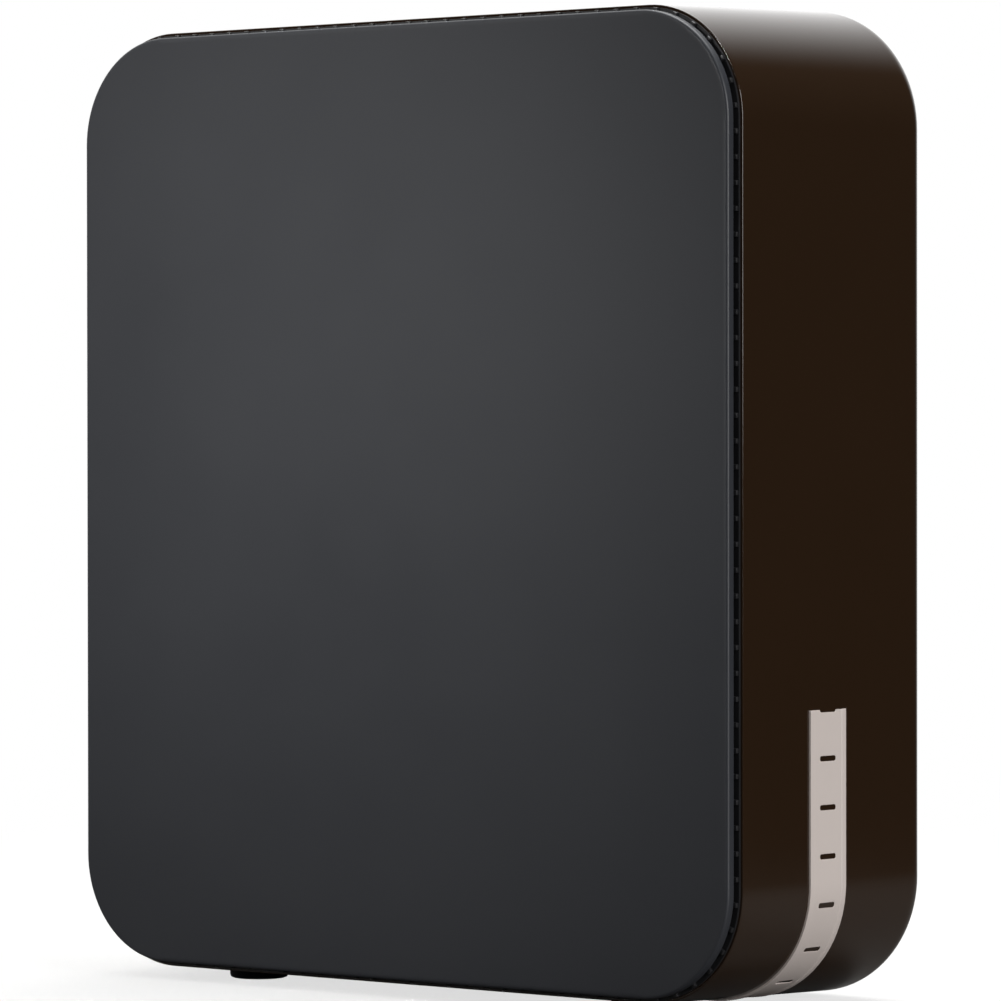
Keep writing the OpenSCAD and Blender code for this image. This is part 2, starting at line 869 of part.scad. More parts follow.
module coax_connector() {
    p = [coax_x, bay_z];
    color("#c3a560") difference() {
        union() {
            rod(p, shank_d, y_bay_in - bond, y_thread, corner_fn);
            rod(p, 2 * coax_r, y_thread - bond, y_tip, corner_fn);
            hex_rod(p, coax_af, y_bay_in - coax_flange, y_bay_in);
            rod(p, coax_tail, y_bay_in - coax_flange - coax_tail, y_bay_in - coax_flange + bond);
        }
        rod(p, coax_bore, y_bay_in, y_tip + over);
        rod(p, coax_lead_d + 2 * screw_gap, y_bay_in - coax_flange - coax_tail - over,
            y_bay_in + over);
    }
}

module coax_insulator() {
    p = [coax_x, bay_z];
    color("#f0eee8") difference() {
        rod(p, coax_bore - 2 * screw_gap, y_bay_in, y_tip - insulator_short);
        rod(p, pin_d + 2 * screw_gap, y_bay_in - over, y_tip + over);
    }
}

module coax_contact() {
    p = [coax_x, bay_z];
    color("#d8b860") difference() {
        rod(p, pin_d, y_bay_in, y_tip - pin_short);
        rod(p, pin_bore, y_tip - pin_bore_l, y_tip);
    }
}

module coax_washer() {
    p = [coax_x, bay_z];
    color("#b0b3b5") difference() {
        rod(p, coax_af + washer_rim, y_bay, y_bay + washer_t);
        rod(p, shank_hole_d, y_bay - over, y_bay + washer_t + over);
    }
}

module coax_nut() {
    p = [coax_x, bay_z];
    color("#c3a560") difference() {
        hex_rod(p, coax_af, y_bay + washer_t, y_thread);
        rod(p, shank_hole_d, y_bay, y_thread + over);
    }
}

module power_jack() {
    p = [jack_x, bay_z];
    color("#1c1c1e") difference() {
        union() {
            rod(p, jack_bezel_d, y_bay, y_jack);
            rod(p, jack_d, y_bay_in - jack_back, y_bay + bond);
        }
        rod(p, jack_bore, y_jack - jack_depth, y_jack + over);
        rod(p, jack_pin, y_bay_in - jack_back - over, y_jack);
    }
}

module power_jack_pin() {
    p = [jack_x, bay_z];
    y_dome = y_jack - jack_pin;
    color("#c9ccce") {
        rod(p, jack_pin, y_bay_in - jack_back, y_dome);
        translate([jack_x, y_dome, bay_z]) sphere(d = jack_pin, $fn = hole_fn);
    }
}

module power_jack_nut() {
    p = [jack_x, bay_z];
    color("#b0b3b5") difference() {
        hex_rod(p, jack_bezel_d, y_bay_in - jack_nut_t, y_bay_in);
        rod(p, jack_d + 2 * screw_gap, y_bay_in - jack_nut_t - over, y_bay_in + over);
    }
}

module power_jack_tabs() {
    color("#c9ccce") for (s = [-1, 1])
        block([jack_x + s * jack_tab_x, bay_z], tab_t, jack_tab_h,
            y_bay_in - jack_back - tab_l, y_bay_in - jack_back);
}

module switch_frame() {
    p = [switch_x, bay_z];
    color("#18181a") difference() {
        union() {
            block(p, switch_w + 2 * bezel_rim, switch_h + 2 * bezel_rim, y_bay, y_switch);
            block(p, switch_w, switch_h, y_bay_in - switch_back, y_bay + bond);
        }
        block(p, switch_w - 2 * switch_wall, switch_h - 2 * switch_wall,
            y_pivot - rocker_r - slip, y_switch + over);
        translate([switch_x, y_pivot, bay_z]) rotate([0, 90, 0])
            cylinder(d = pivot_d + 2 * running, h = switch_w + over, center = true, $fn = hole_fn);
    }
}

module power_rocker() {
    half = sqrt(pow(rocker_r, 2) - pow(rocker_top, 2));
    color("#232326") translate([switch_x, y_pivot, bay_z]) rotate([rocker_turn / 2, 0, 0]) {
        rotate([90, 0, 90]) linear_extrude(rocker_w, center = true) difference() {
            circle(r = rocker_r, $fn = 64);
            translate([-2 * rocker_r - pivot_d, -rocker_r]) square(2 * rocker_r);
            polygon([[rocker_r + over, -half - over], [rocker_r + over, half + over],
                [rocker_top, half + over], [rocker_top, half],
                [rocker_top - rocker_dip, 0],
                [rocker_top, -half], [rocker_top, -half - over]]);
        }
        rotate([0, 90, 0])
            cylinder(d = pivot_d, h = switch_w - 2 * slip, center = true, $fn = hole_fn);
    }
}

module switch_tabs() {
    color("#c9ccce") for (s = [-1, 1])
        block([switch_x, bay_z + s * switch_tab_z], switch_tab_w, tab_t,
            y_bay_in - switch_back - tab_l, y_bay_in - switch_back);
}

module status_led() {
    color("#d9f0dc") rod(led, led_d, y_board_rear, y_board_rear + led_h);
}

module light_pipe() {
    color("#e6f0f4") {
        rod(led, led_d, y_board_rear + led_h + pipe_gap, y_back);
        rod(led, led_d + pipe_flange[0], y_rear_in - pipe_flange[1], y_rear_in);
    }
}

// ---------------------------------------------------------------- inner leads

module donor_cable() {
    a = [coax_x, y_bay_in - coax_flange, bay_z];
    b = [donor_socket[0], y_board_rear + socket_h + end_gap, donor_socket[1]];
    color("#b8b0a0") lead(route(a, forward, coax_tail + 0.5, b, backward, 1, 5), coax_lead_d);
}

module antenna_cable() {
    a = [0, y_board - socket_h - end_gap, ant_socket_z];
    b = [0, y_patch + feed_h + end_gap, feed_z];
    straight = y_reflector_rear - b[1] + 1;
    color("#b8b0a0") lead(route(a, forward, 1, b, backward, straight, 3.5), coax_lead_d);
}

module power_leads() {
    y_jack_tab = y_bay_in - jack_back - tab_l - end_gap;
    y_switch_tab = y_bay_in - switch_back - tab_l - end_gap;
    plus = [jack_x + jack_tab_x, y_jack_tab, bay_z];
    minus = [jack_x - jack_tab_x, y_jack_tab, bay_z];
    low = [switch_x, y_switch_tab, bay_z - switch_tab_z];
    high = [switch_x, y_switch_tab, bay_z + switch_tab_z];
    top = [header[0], y_board_rear + header_size[2] + end_gap, header[1]];
    color("#8e2a24") {
        lead(route(plus, forward, 0.6, low, forward, 0.6, 1.5), lead_d);
        lead(route(high, forward, 0.6, top + [header_pin_x, 0, 0], backward, 1, 4), lead_d);
    }
    color("#202022")
        lead(route(minus, forward, 0.6, top - [header_pin_x, 0, 0], backward, 1, 4), lead_d);
}

front_cover();
vent_ring();
main_housing();
rear_cover();
base_band();
foot_pads();
cover_screws();
rating_label();
patch_antenna();
antenna_spacers();
antenna_screws();
antenna_nuts();
reflector_plate();
board_standoffs();
main_board();
board_screws();
shield_frames();
shield_lid_uplink();
shield_lid_downlink();
shield_lid_power();
amplifier_chips();
duplexer_filters();
controller_chip();
power_capacitors();
power_inductor();
thermal_pads();
heat_sink();
heat_sink_screws();
heat_sink_nuts();
coax_connector();
coax_insulator();
coax_contact();
coax_washer();
coax_nut();
power_jack();
power_jack_pin();
power_jack_nut();
power_jack_tabs();
switch_frame();
power_rocker();
switch_tabs();
status_led();
light_pipe();
board_sockets();
donor_cable();
antenna_cable();
power_leads();
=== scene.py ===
"""Desktop cellular signal booster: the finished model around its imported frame.

Sizes are in millimetres and are turned to metres when a piece is finished. X is to the right,
Y to the back (the front cover faces -Y) and Z is up. The casing stands on its feet at Z = 0.
"""
import functools
import json
import logging
import math
from dataclasses import dataclass
from enum import Enum
from typing import Any, Callable, Iterable, Sequence

import bmesh
import bpy
from mathutils import Matrix, Vector


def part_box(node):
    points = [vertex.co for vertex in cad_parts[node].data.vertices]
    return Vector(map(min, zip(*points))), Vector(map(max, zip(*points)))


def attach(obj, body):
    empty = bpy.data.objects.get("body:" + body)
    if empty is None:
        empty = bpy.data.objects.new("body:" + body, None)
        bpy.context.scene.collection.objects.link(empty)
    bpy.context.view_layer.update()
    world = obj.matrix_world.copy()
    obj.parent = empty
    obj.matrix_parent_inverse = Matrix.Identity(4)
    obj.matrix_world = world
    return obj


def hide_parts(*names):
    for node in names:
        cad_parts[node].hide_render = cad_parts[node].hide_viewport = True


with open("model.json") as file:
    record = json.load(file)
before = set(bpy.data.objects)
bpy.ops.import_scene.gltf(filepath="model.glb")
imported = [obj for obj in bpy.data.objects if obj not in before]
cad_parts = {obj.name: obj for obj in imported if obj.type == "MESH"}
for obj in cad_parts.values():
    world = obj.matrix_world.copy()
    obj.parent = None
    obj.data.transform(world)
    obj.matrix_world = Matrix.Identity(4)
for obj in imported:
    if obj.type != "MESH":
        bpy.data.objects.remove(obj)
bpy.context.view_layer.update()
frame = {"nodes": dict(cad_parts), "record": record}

log = logging.getLogger("booster")
MM = 0.001
CASING = "casing"
ROCKER = "rocker"

# An edge that turns by more than SHARP is sharp, and one that turns by less than LEVEL is level.
# Faces that differ by less than JOIN become one.
SHARP = math.radians(32)
LEVEL = 0.02
JOIN = math.radians(0.6)
# Material number that marks the faces to be shaded flat.
FLAT = 1
# Lengths in millimetres that count as nothing: between points that meet, and in a comparison.
MEET = 1e-4
NEAR = 1e-3
# How far in the middle of a rounded corner lies, as a share of its radius.
CORNER = 0.3


# ------------------------------------------------------------------ shape tools


def quarter(steps: int) -> list[tuple[float, float]]:
    """Steps evenly round a quarter turn.

    Args:
        steps: Number of steps.

    Returns:
        The cosine and the sine at each end of a step.
    """
    angles = [math.radians(90) * step / steps for step in range(steps + 1)]
    return [(math.cos(angle), math.sin(angle)) for angle in angles]


@functools.cache
def box_mm(node: str) -> tuple[Vector, Vector]:
    """Lowest and highest corner of a frame node, in millimetres.

    Args:
        node: The node's name.

    Returns:
        The two corners.
    """
    low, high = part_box(node)
    return low / MM, high / MM


@dataclass
class Outline:
    """The casing's rounded outline, seen from the front."""

    half_x: float
    z_low: float
    z_high: float
    corner: float = 24.0
    least_corner: float = 3.0
    segments: int = 24

    @property
    def z_mid(self) -> float:
        """Height of the middle."""
        return (self.z_low + self.z_high) / 2

    @property
    def half_z(self) -> float:
        """Half of the height."""
        return (self.z_high - self.z_low) / 2

    def radius(self, inset: float) -> float:
        """Corner radius of the outline when it is moved in by inset."""
        return max(self.corner - inset, self.least_corner)

    def inset_at(self, point: Vector) -> float:
        """How far a point is inside the outline.

        Args:
            point: The point; its depth doesn't matter.

        Returns:
            The distance to the outline, negative outside.
        """
        across = abs(point.x) - (self.half_x - self.corner)
        up = abs(point.z - self.z_mid) - (self.half_z - self.corner)
        beyond = math.hypot(max(across, 0.0), max(up, 0.0))
        return self.corner - beyond - min(max(across, up), 0.0)

    def outward(self, point: Vector) -> Vector:
        """Unit vector from a point straight to the nearest stretch of the outline.

        Args:
            point: The point; its depth doesn't matter.

        Returns:
            The direction, in the plane of X and Z.
        """
        across = max(abs(point.x) - (self.half_x - self.corner), 0.0)
        up = max(abs(point.z - self.z_mid) - (self.half_z - self.corner), 0.0)
        if across == 0.0 and up == 0.0:
            across = 1.0
        sign_x = math.copysign(1.0, point.x)
        sign_z = math.copysign(1.0, point.z - self.z_mid)
        return Vector((sign_x * across, 0.0, sign_z * up)).normalized()


class Shape:
    """A mesh under construction, in millimetres."""

    def __init__(self) -> None:
        """Starts an empty mesh."""
        self.bm = bmesh.new()

    def loop(self, outline: Outline, inset: float, y: float) -> list[bmesh.types.BMEdge]:
        """Adds the outline, moved in by inset, as a closed loop of edges at depth y.

        Args:
            outline: The outline.
            inset: Distance in from it.
            y: Depth of the loop.

        Returns:
            The loop's edges.
        """
        return self.rounded(
            2 * (outline.half_x - inset),
            2 * (outline.half_z - inset),
            outline.radius(inset),
            Vector((0.0, y, outline.z_mid)),
            outline.segments,
        )

    def rounded(
        self, width: float, height: float, radius: float, centre: Vector, segments: int
    ) -> list[bmesh.types.BMEdge]:
        """Adds a rounded rectangle that faces the front, as a closed loop of edges.

        Args:
            width: Its size along X.
            height: Its size along Z.
            radius: Its corner radius.
            centre: Its middle.
            segments: Segments in each corner.

        Returns:
            The loop's edges.
        """
        corners = bmesh.ops.create_grid(self.bm, x_segments=1, y_segments=1, size=0.5)["verts"]
        bmesh.ops.scale(self.bm, vec=(width, height, 1.0), verts=corners)
        upright = Matrix.Rotation(math.radians(90), 3, "X")
        bmesh.ops.rotate(self.bm, matrix=upright, verts=corners)
        bmesh.ops.translate(self.bm, vec=centre, verts=corners)
        made = bmesh.ops.bevel(
            self.bm,
            geom=corners,
            offset=radius,
            offset_type="OFFSET",
            segments=segments,
            profile=0.5,
            affect="VERTICES",
            material=-1,
            clamp_overlap=False,
        )
        face = made["verts"][0].link_faces[0]
        edges = list(face.edges)
        bmesh.ops.delete(self.bm, geom=[face], context="FACES_ONLY")
        return edges

    def bridge(self, loops: Sequence[Sequence[bmesh.types.BMEdge]], closed: bool = False) -> None:
        """Joins each loop of edges to the next one with faces.

        Args:
            loops: The loops, in order.
            closed: Whether the last one is joined to the first.
        """
        pairs = list(zip(loops, loops[1:]))
        if closed:
            pairs.append((loops[-1], loops[0]))
        for first, second in pairs:
            bmesh.ops.bridge_loops(self.bm, edges=[*first, *second])

    def cap(self, edges: Sequence[bmesh.types.BMEdge]) -> bmesh.types.BMFace:
        """Closes a loop of edges with one face.

        Args:
            edges: The loop.

        Returns:
            The new face.
        """
        return bmesh.ops.contextual_create(self.bm, geom=list(edges))["faces"][0]

    def cut(
        self,
        axis: str,
        places: Iterable[float],
        where: Callable[[Vector], bool] | None = None,
    ) -> None:
        """Draws edges across the faces at planes square to an axis.

        Args:
            axis: X, Y or Z.
            places: Where the planes cross the axis.
            where: Test of a face's middle; all faces are cut without it.
        """
        normal = Vector([float(axis == name) for name in "XYZ"])
        for place in places:
            faces = [f for f in self.bm.faces if where is None or where(f.calc_center_median())]
            edges = {e for f in faces for e in f.edges}
            verts = {v for f in faces for v in f.verts}
            bmesh.ops.bisect_plane(
                self.bm,
                geom=[*verts, *edges, *faces],
                dist=MEET / 10,
                plane_co=normal * place,
                plane_no=normal,
            )

    def push_in(
        self, faces: Sequence[bmesh.types.BMFace], move: Callable[[Vector], Vector]
    ) -> None:
        """Extrudes a region of faces and moves each of its new vertices.

        Args:
            faces: The region.
            move: Gives a vertex's new place from its old one.
        """
        made = bmesh.ops.extrude_face_region(self.bm, geom=list(faces))["geom"]
        for vert in made:
            if isinstance(vert, bmesh.types.BMVert):
                vert.co = move(vert.co)

    def turn(
        self,
        profile: Sequence[tuple[float, float]],
        centre: Vector,
        axis: str = "Y",
        steps: int = 48,
    ) -> list[bmesh.types.BMVert]:
        """Turns a profile about an axis, as on a lathe.

        Args:
            profile: Points of radius and place along the axis; equal ends close it.
            centre: A point on the axis.
            axis: Y or Z.
            steps: Segments round the axis.

        Returns:
            The new vertices.
        """
        before = set(self.bm.verts)
        along = Vector((0.0, 1.0, 0.0)) if axis == "Y" else Vector((0.0, 0.0, 1.0))
        points = profile[:-1] if profile[0] == profile[-1] else profile
        verts = [
            self.bm.verts.new(centre + Vector((radius, 0.0, 0.0)) + along * place)
            for radius, place in points
        ]
        ends = list(zip(verts, verts[1:]))
        if len(points) < len(profile):
            ends.append((verts[-1], verts[0]))
        edges = [self.bm.edges.new(pair) for pair in ends]
        bmesh.ops.spin(
            self.bm,
            geom=[*verts, *edges],
            cent=centre,
            axis=along,
            angle=math.tau,
            steps=steps,
            use_merge=True,
        )
        made = [v for v in self.bm.verts if v not in before]
        bmesh.ops.remove_doubles(self.bm, verts=made, dist=MEET)
        return [v for v in self.bm.verts if v not in before]

    def bar(self, size: Vector, place: Matrix, edge: float = 0.0) -> None:
        """Adds a bar with rounded edges.

        Args:
            size: Its three sizes.
            place: Where it goes.
            edge: Radius of its edges.
        """
        made = bmesh.ops.create_cube(self.bm, size=1.0)["verts"]
        bmesh.ops.scale(self.bm, vec=size, verts=made)
        bmesh.ops.transform(self.bm, matrix=place, verts=made)
        if edge > 0.0:
            self.round_edges({e for v in made for e in v.link_edges}, edge, 2)

    def round_edges(
        self, edges: Iterable[bmesh.types.BMEdge], radius: float, segments: int
    ) -> None:
        """Rounds edges.

        Args:
            edges: The edges.
            radius: Their radius.
            segments: Segments across each.
        """
        bmesh.ops.bevel(
            self.bm,
            geom=list(edges),
            offset=radius,
            offset_type="OFFSET",
            segments=segments,
            profile=0.5,
            affect="EDGES",
            material=0,
            clamp_overlap=True,
        )

    def mesh(self, name: str, turn_out: bool = True) -> bpy.types.Mesh:
        """Finishes the mesh, in metres, with smooth faces and sharp edges marked.

        Args:
            name: Name of the mesh.
            turn_out: Whether the faces are first turned to point outwards.

        Returns:
            The mesh.
        """
        if turn_out:
            bmesh.ops.recalc_face_normals(self.bm, faces=self.bm.faces)
        bmesh.ops.scale(self.bm, vec=(MM, MM, MM), verts=self.bm.verts)
        self.bm.normal_update()
        mark_sharp(self.bm)
        mesh = bpy.data.meshes.new(name)
        self.bm.to_mesh(mesh)
        self.bm.free()
        return mesh


def mark_sharp(bm: bmesh.types.BMesh) -> None:
    """Shades the faces smooth, but for those marked flat, and marks the edges that stay sharp.

    Args:
        bm: The mesh.
    """
    for face in bm.faces:
        face.smooth = face.material_index != FLAT
        face.material_index = 0
    for edge in bm.edges:
        edge.smooth = edge.is_manifold and edge.calc_face_angle(math.pi) < SHARP


def even_normals(piece: bpy.types.Object) -> None:
    """Weighs the shading by the area of the faces, so that large faces stay flat.

    Args:
        piece: The piece, whose mesh is changed.
    """
    weighing = piece.modifiers.new("even", "WEIGHTED_NORMAL")
    weighing.keep_sharp = True
    bpy.context.view_layer.update()
    graph = bpy.context.evaluated_depsgraph_get()
    mesh = bpy.data.meshes.new_from_object(piece.evaluated_get(graph))
    piece.modifiers.clear()
    piece.data = mesh


def carve(piece: bpy.types.Object, tool: bpy.types.Mesh) -> None:
    """Cuts the solids of a tool out of a piece.

    Args:
        piece: The piece, whose mesh is changed.
        tool: The tool's mesh, which is used up.
    """
    cutter = bpy.data.objects.new("cutter", tool)
    bpy.context.scene.collection.objects.link(cutter)
    modifier = piece.modifiers.new("carve", "BOOLEAN")
    modifier.operation = "DIFFERENCE"
    modifier.solver = "EXACT"
    modifier.object = cutter
    modifier.use_self = True
    bpy.context.view_layer.update()
    graph = bpy.context.evaluated_depsgraph_get()
    carved = bpy.data.meshes.new_from_object(piece.evaluated_get(graph))
    piece.modifiers.clear()
    bm = bmesh.new()
    bm.from_mesh(carved)
    bmesh.ops.remove_doubles(bm, verts=bm.verts, dist=MEET * MM)
    bmesh.ops.dissolve_degenerate(bm, edges=bm.edges, dist=MEET * MM)
    mark_sharp(bm)
    bm.to_mesh(carved)
    bm.free()
    piece.data = carved
    bpy.data.objects.remove(cutter)
    even_normals(piece)


def add_piece(
    mesh: bpy.types.Mesh, name: str, slot: str, nodes: Sequence[str], body: str = CASING
) -> bpy.types.Object:
    """Makes a finished piece of a mesh.

    Args:
        mesh: The mesh, in metres and in place.
        name: The piece's name.
        slot: The record's material slot that it takes its finish from.
        nodes: The frame's nodes that it stands for.
        body: The body that it moves with.

    Returns:
        The piece.
    """
    piece = bpy.data.objects.new(name, mesh)
    bpy.context.scene.collection.objects.link(piece)
    even_normals(piece)
    piece.data.materials.clear()
    piece.data.materials.append(FINISHES[slot].material())
    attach(piece, body)
    if nodes:
        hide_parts(*nodes)
    log.info("%s: %d faces for %s", name, len(piece.data.polygons), ", ".join(nodes) or "itself")
    return piece


def refine(
    node: str, name: str, slot: str, radius: float, segments: int = 2, body: str = CASING
) -> bpy.types.Object:
    """Makes a piece of a copy of a frame node, with its sharp edges rounded.

    Args:
        node: The frame's node.
        name: The piece's name.
        slot: The record's material slot.
        radius: Radius of the edges.
        segments: Segments across an edge.
        body: The body that it moves with.

    Returns:
        The piece.
    """
    shape = Shape()
    shape.bm.from_mesh(frame["nodes"][node].data)
    bmesh.ops.scale(shape.bm, vec=(1 / MM,) * 3, verts=shape.bm.verts)
    bmesh.ops.remove_doubles(shape.bm, verts=shape.bm.verts, dist=2 * NEAR)
    bmesh.ops.dissolve_limit(
        shape.bm, angle_limit=JOIN, verts=shape.bm.verts, edges=shape.bm.edges
    )
    for face in shape.bm.faces:
        turns = [e.calc_face_angle(0.0) for e in face.edges if e.is_manifold]
        face.material_index = FLAT if all(not LEVEL < turn < SHARP for turn in turns) else 0
    hard = [e for e in shape.bm.edges if e.is_manifold and e.calc_face_angle(0.0) > SHARP]
    shape.round_edges(hard, radius, segments)
    return add_piece(shape.mesh(name, turn_out=False), name, slot, [node], body)


# ------------------------------------------------------------------ finishes


def linear(code: str) -> tuple[float, float, float, float]:
    """Turns an sRGB colour to the linear one that shaders take.

    Args:
        code: Six hex digits.

    Returns:
        Red, green, blue and an alpha of 1.
    """
    parts = [int(code[i : i + 2], 16) / 255 for i in (0, 2, 4)]
    red, green, blue = [
        p / 12.92 if p <= 0.04045 else ((p + 0.055) / 1.055) ** 2.4 for p in parts
    ]
    return red, green, blue, 1.0


def put(
    tree: bpy.types.NodeTree,
    kind: str,
    inputs: dict[str | int, Any] | None = None,
    **settings: Any,
) -> bpy.types.Node:
    """Adds a node with its settings and links.

    Args:
        tree: The node tree.
        kind: The node's type.
        inputs: Values, or the sockets that feed them, by input name or number.
        settings: The node's own settings.

    Returns:
        The node.
    """
    made = tree.nodes.new(kind)
    for name, value in settings.items():
        setattr(made, name, value)
    for name, value in (inputs or {}).items():
        socket = made.inputs[name]
        if isinstance(value, bpy.types.NodeSocket):
            tree.links.new(value, socket)
        else:
            socket.default_value = value
    return made


class Pattern(Enum):
    """How a surface was made, which decides its relief."""

    ERODED = "moulded against a spark-eroded tool"
    POLISHED = "moulded against a polished tool"
    ROLLED = "rolled or brushed in one direction"
    PLATED = "plated and bright"
    CAST = "pressed, cast or sintered"
    BOARD = "etched board under a solder mask"
    CLEAR = "clear and polished"


@dataclass(frozen=True)
class Finish:
    """One material: what it is, how it was made and what that gives the eye."""

    name: str
    base: str
    second: str
    pattern: Pattern
    roughness: tuple[float, float]
    grain: float
    relief: float
    metallic: float = 0.0
    ior: float = 1.5
    coat: float = 0.0
    coat_roughness: float = 0.1
    patch: float = 26.0
    transmission: float = 0.0
    stretch: tuple[float, float, float] = (1.0, 1.0, 1.0)

    def material(self) -> bpy.types.Material:
        """Builds the material once, and returns it.

        Returns:
            The material.
        """
        found = bpy.data.materials.get(self.name)
        if found is not None:
            return found
        made = bpy.data.materials.new(self.name)
        made.use_nodes = True
        tree = made.node_tree
        tree.nodes.clear()
        space = put(tree, "ShaderNodeTexCoord").outputs["Object"]
        colour, rough = self._tone(tree, space)
        shader = put(
            tree,
            "ShaderNodeBsdfPrincipled",
            {
                "Base Color": colour,
                "Roughness": rough,
                "Normal": self._relief(tree, space),
                "Metallic": self.metallic,
                "Coat Weight": self.coat,
                "Coat Roughness": self.coat_roughness,
                "Transmission Weight": self.transmission,
            },
        )
        if self.metallic == 0.0:
            shader.inputs["IOR"].default_value = self.ior
        put(tree, "ShaderNodeOutputMaterial", {"Surface": shader.outputs["BSDF"]})
        return made

    def _scaled(
        self, tree: bpy.types.NodeTree, space: bpy.types.NodeSocket, size: float, stretched: bool
    ) -> bpy.types.NodeSocket:
        """Scales the object's coordinates so that one unit is one feature of a real size.

        Args:
            tree: The node tree.
            space: Object coordinates, in metres.
            size: The feature's size in millimetres.
            stretched: Whether the finish's stretch applies.

        Returns:
            The scaled coordinates.
        """
        stretch = self.stretch if stretched else (1.0, 1.0, 1.0)
        scale = tuple(1.0 / (size * MM * part) for part in stretch)
        return put(tree, "ShaderNodeMapping", {"Vector": space, "Scale": scale}).outputs["Vector"]

    def _tone(
        self, tree: bpy.types.NodeTree, space: bpy.types.NodeSocket
    ) -> tuple[bpy.types.NodeSocket, bpy.types.NodeSocket]:
        """Makes the colour and the roughness, each with a slow change over the surface.

        Args:
            tree: The node tree.
            space: Object coordinates.

        Returns:
            The colour and the roughness.
        """
        patches = put(
            tree,
            "ShaderNodeTexNoise",
            {
                "Vector": self._scaled(tree, space, self.patch, True),
                "Scale": 1.0,
                "Detail": 4.0,
                "Roughness": 0.6,
            },
        ).outputs["Fac"]
        share = patches
        if self.pattern is Pattern.BOARD:
            share = self._tracks(tree, space)
        colour = put(
            tree,
            "ShaderNodeMix",
            {0: share, 6: linear(self.base), 7: linear(self.second)},
            data_type="RGBA",
        ).outputs[2]
        rough = put(
            tree,
            "ShaderNodeMapRange",
            {
                "Value": patches,
                "From Min": 0.3,
                "From Max": 0.7,
                "To Min": self.roughness[0],
                "To Max": self.roughness[1],
            },
        ).outputs["Result"]
        return colour, rough

    def _tracks(
        self, tree: bpy.types.NodeTree, space: bpy.types.NodeSocket
    ) -> bpy.types.NodeSocket:
        """Draws copper tracks and ground areas under a solder mask.

        Args:
            tree: The node tree.
            space: Object coordinates.

        Returns:
            1 on bare board and 0 on copper.
        """
        cells = put(
            tree,
            "ShaderNodeTexVoronoi",
            {"Vector": self._scaled(tree, space, self.grain, False), "Scale": 1.0},
            feature="F2",
            distance="CHEBYCHEV",
        ).outputs["Distance"]
        waves = put(tree, "ShaderNodeMath", {0: cells, 1: 9.0}, operation="MULTIPLY")
        turns = put(tree, "ShaderNodeMath", {0: waves.outputs[0]}, operation="SINE")
        return put(
            tree,
            "ShaderNodeMapRange",
            {"Value": turns.outputs[0], "From Min": 0.2, "From Max": 0.35},
        ).outputs["Result"]

    def _relief(
        self, tree: bpy.types.NodeTree, space: bpy.types.NodeSocket
    ) -> bpy.types.NodeSocket:
        """Makes the surface's fine relief.

        Args:
            tree: The node tree.
            space: Object coordinates.

        Returns:
            The normal.
        """
        fine = self._scaled(tree, space, self.grain, True)
        if self.pattern is Pattern.ERODED:
            height = put(
                tree,
                "ShaderNodeTexVoronoi",
                {"Vector": fine, "Scale": 1.0, "Randomness": 1.0},
                feature="SMOOTH_F1",
            ).outputs["Distance"]
        else:
            height = put(
                tree, "ShaderNodeTexNoise", {"Vector": fine, "Scale": 1.0, "Detail": 3.0}
            ).outputs["Fac"]
        return put(
            tree,
            "ShaderNodeBump",
            {"Height": height, "Strength": 1.0, "Distance": self.relief * MM},
        ).outputs["Normal"]


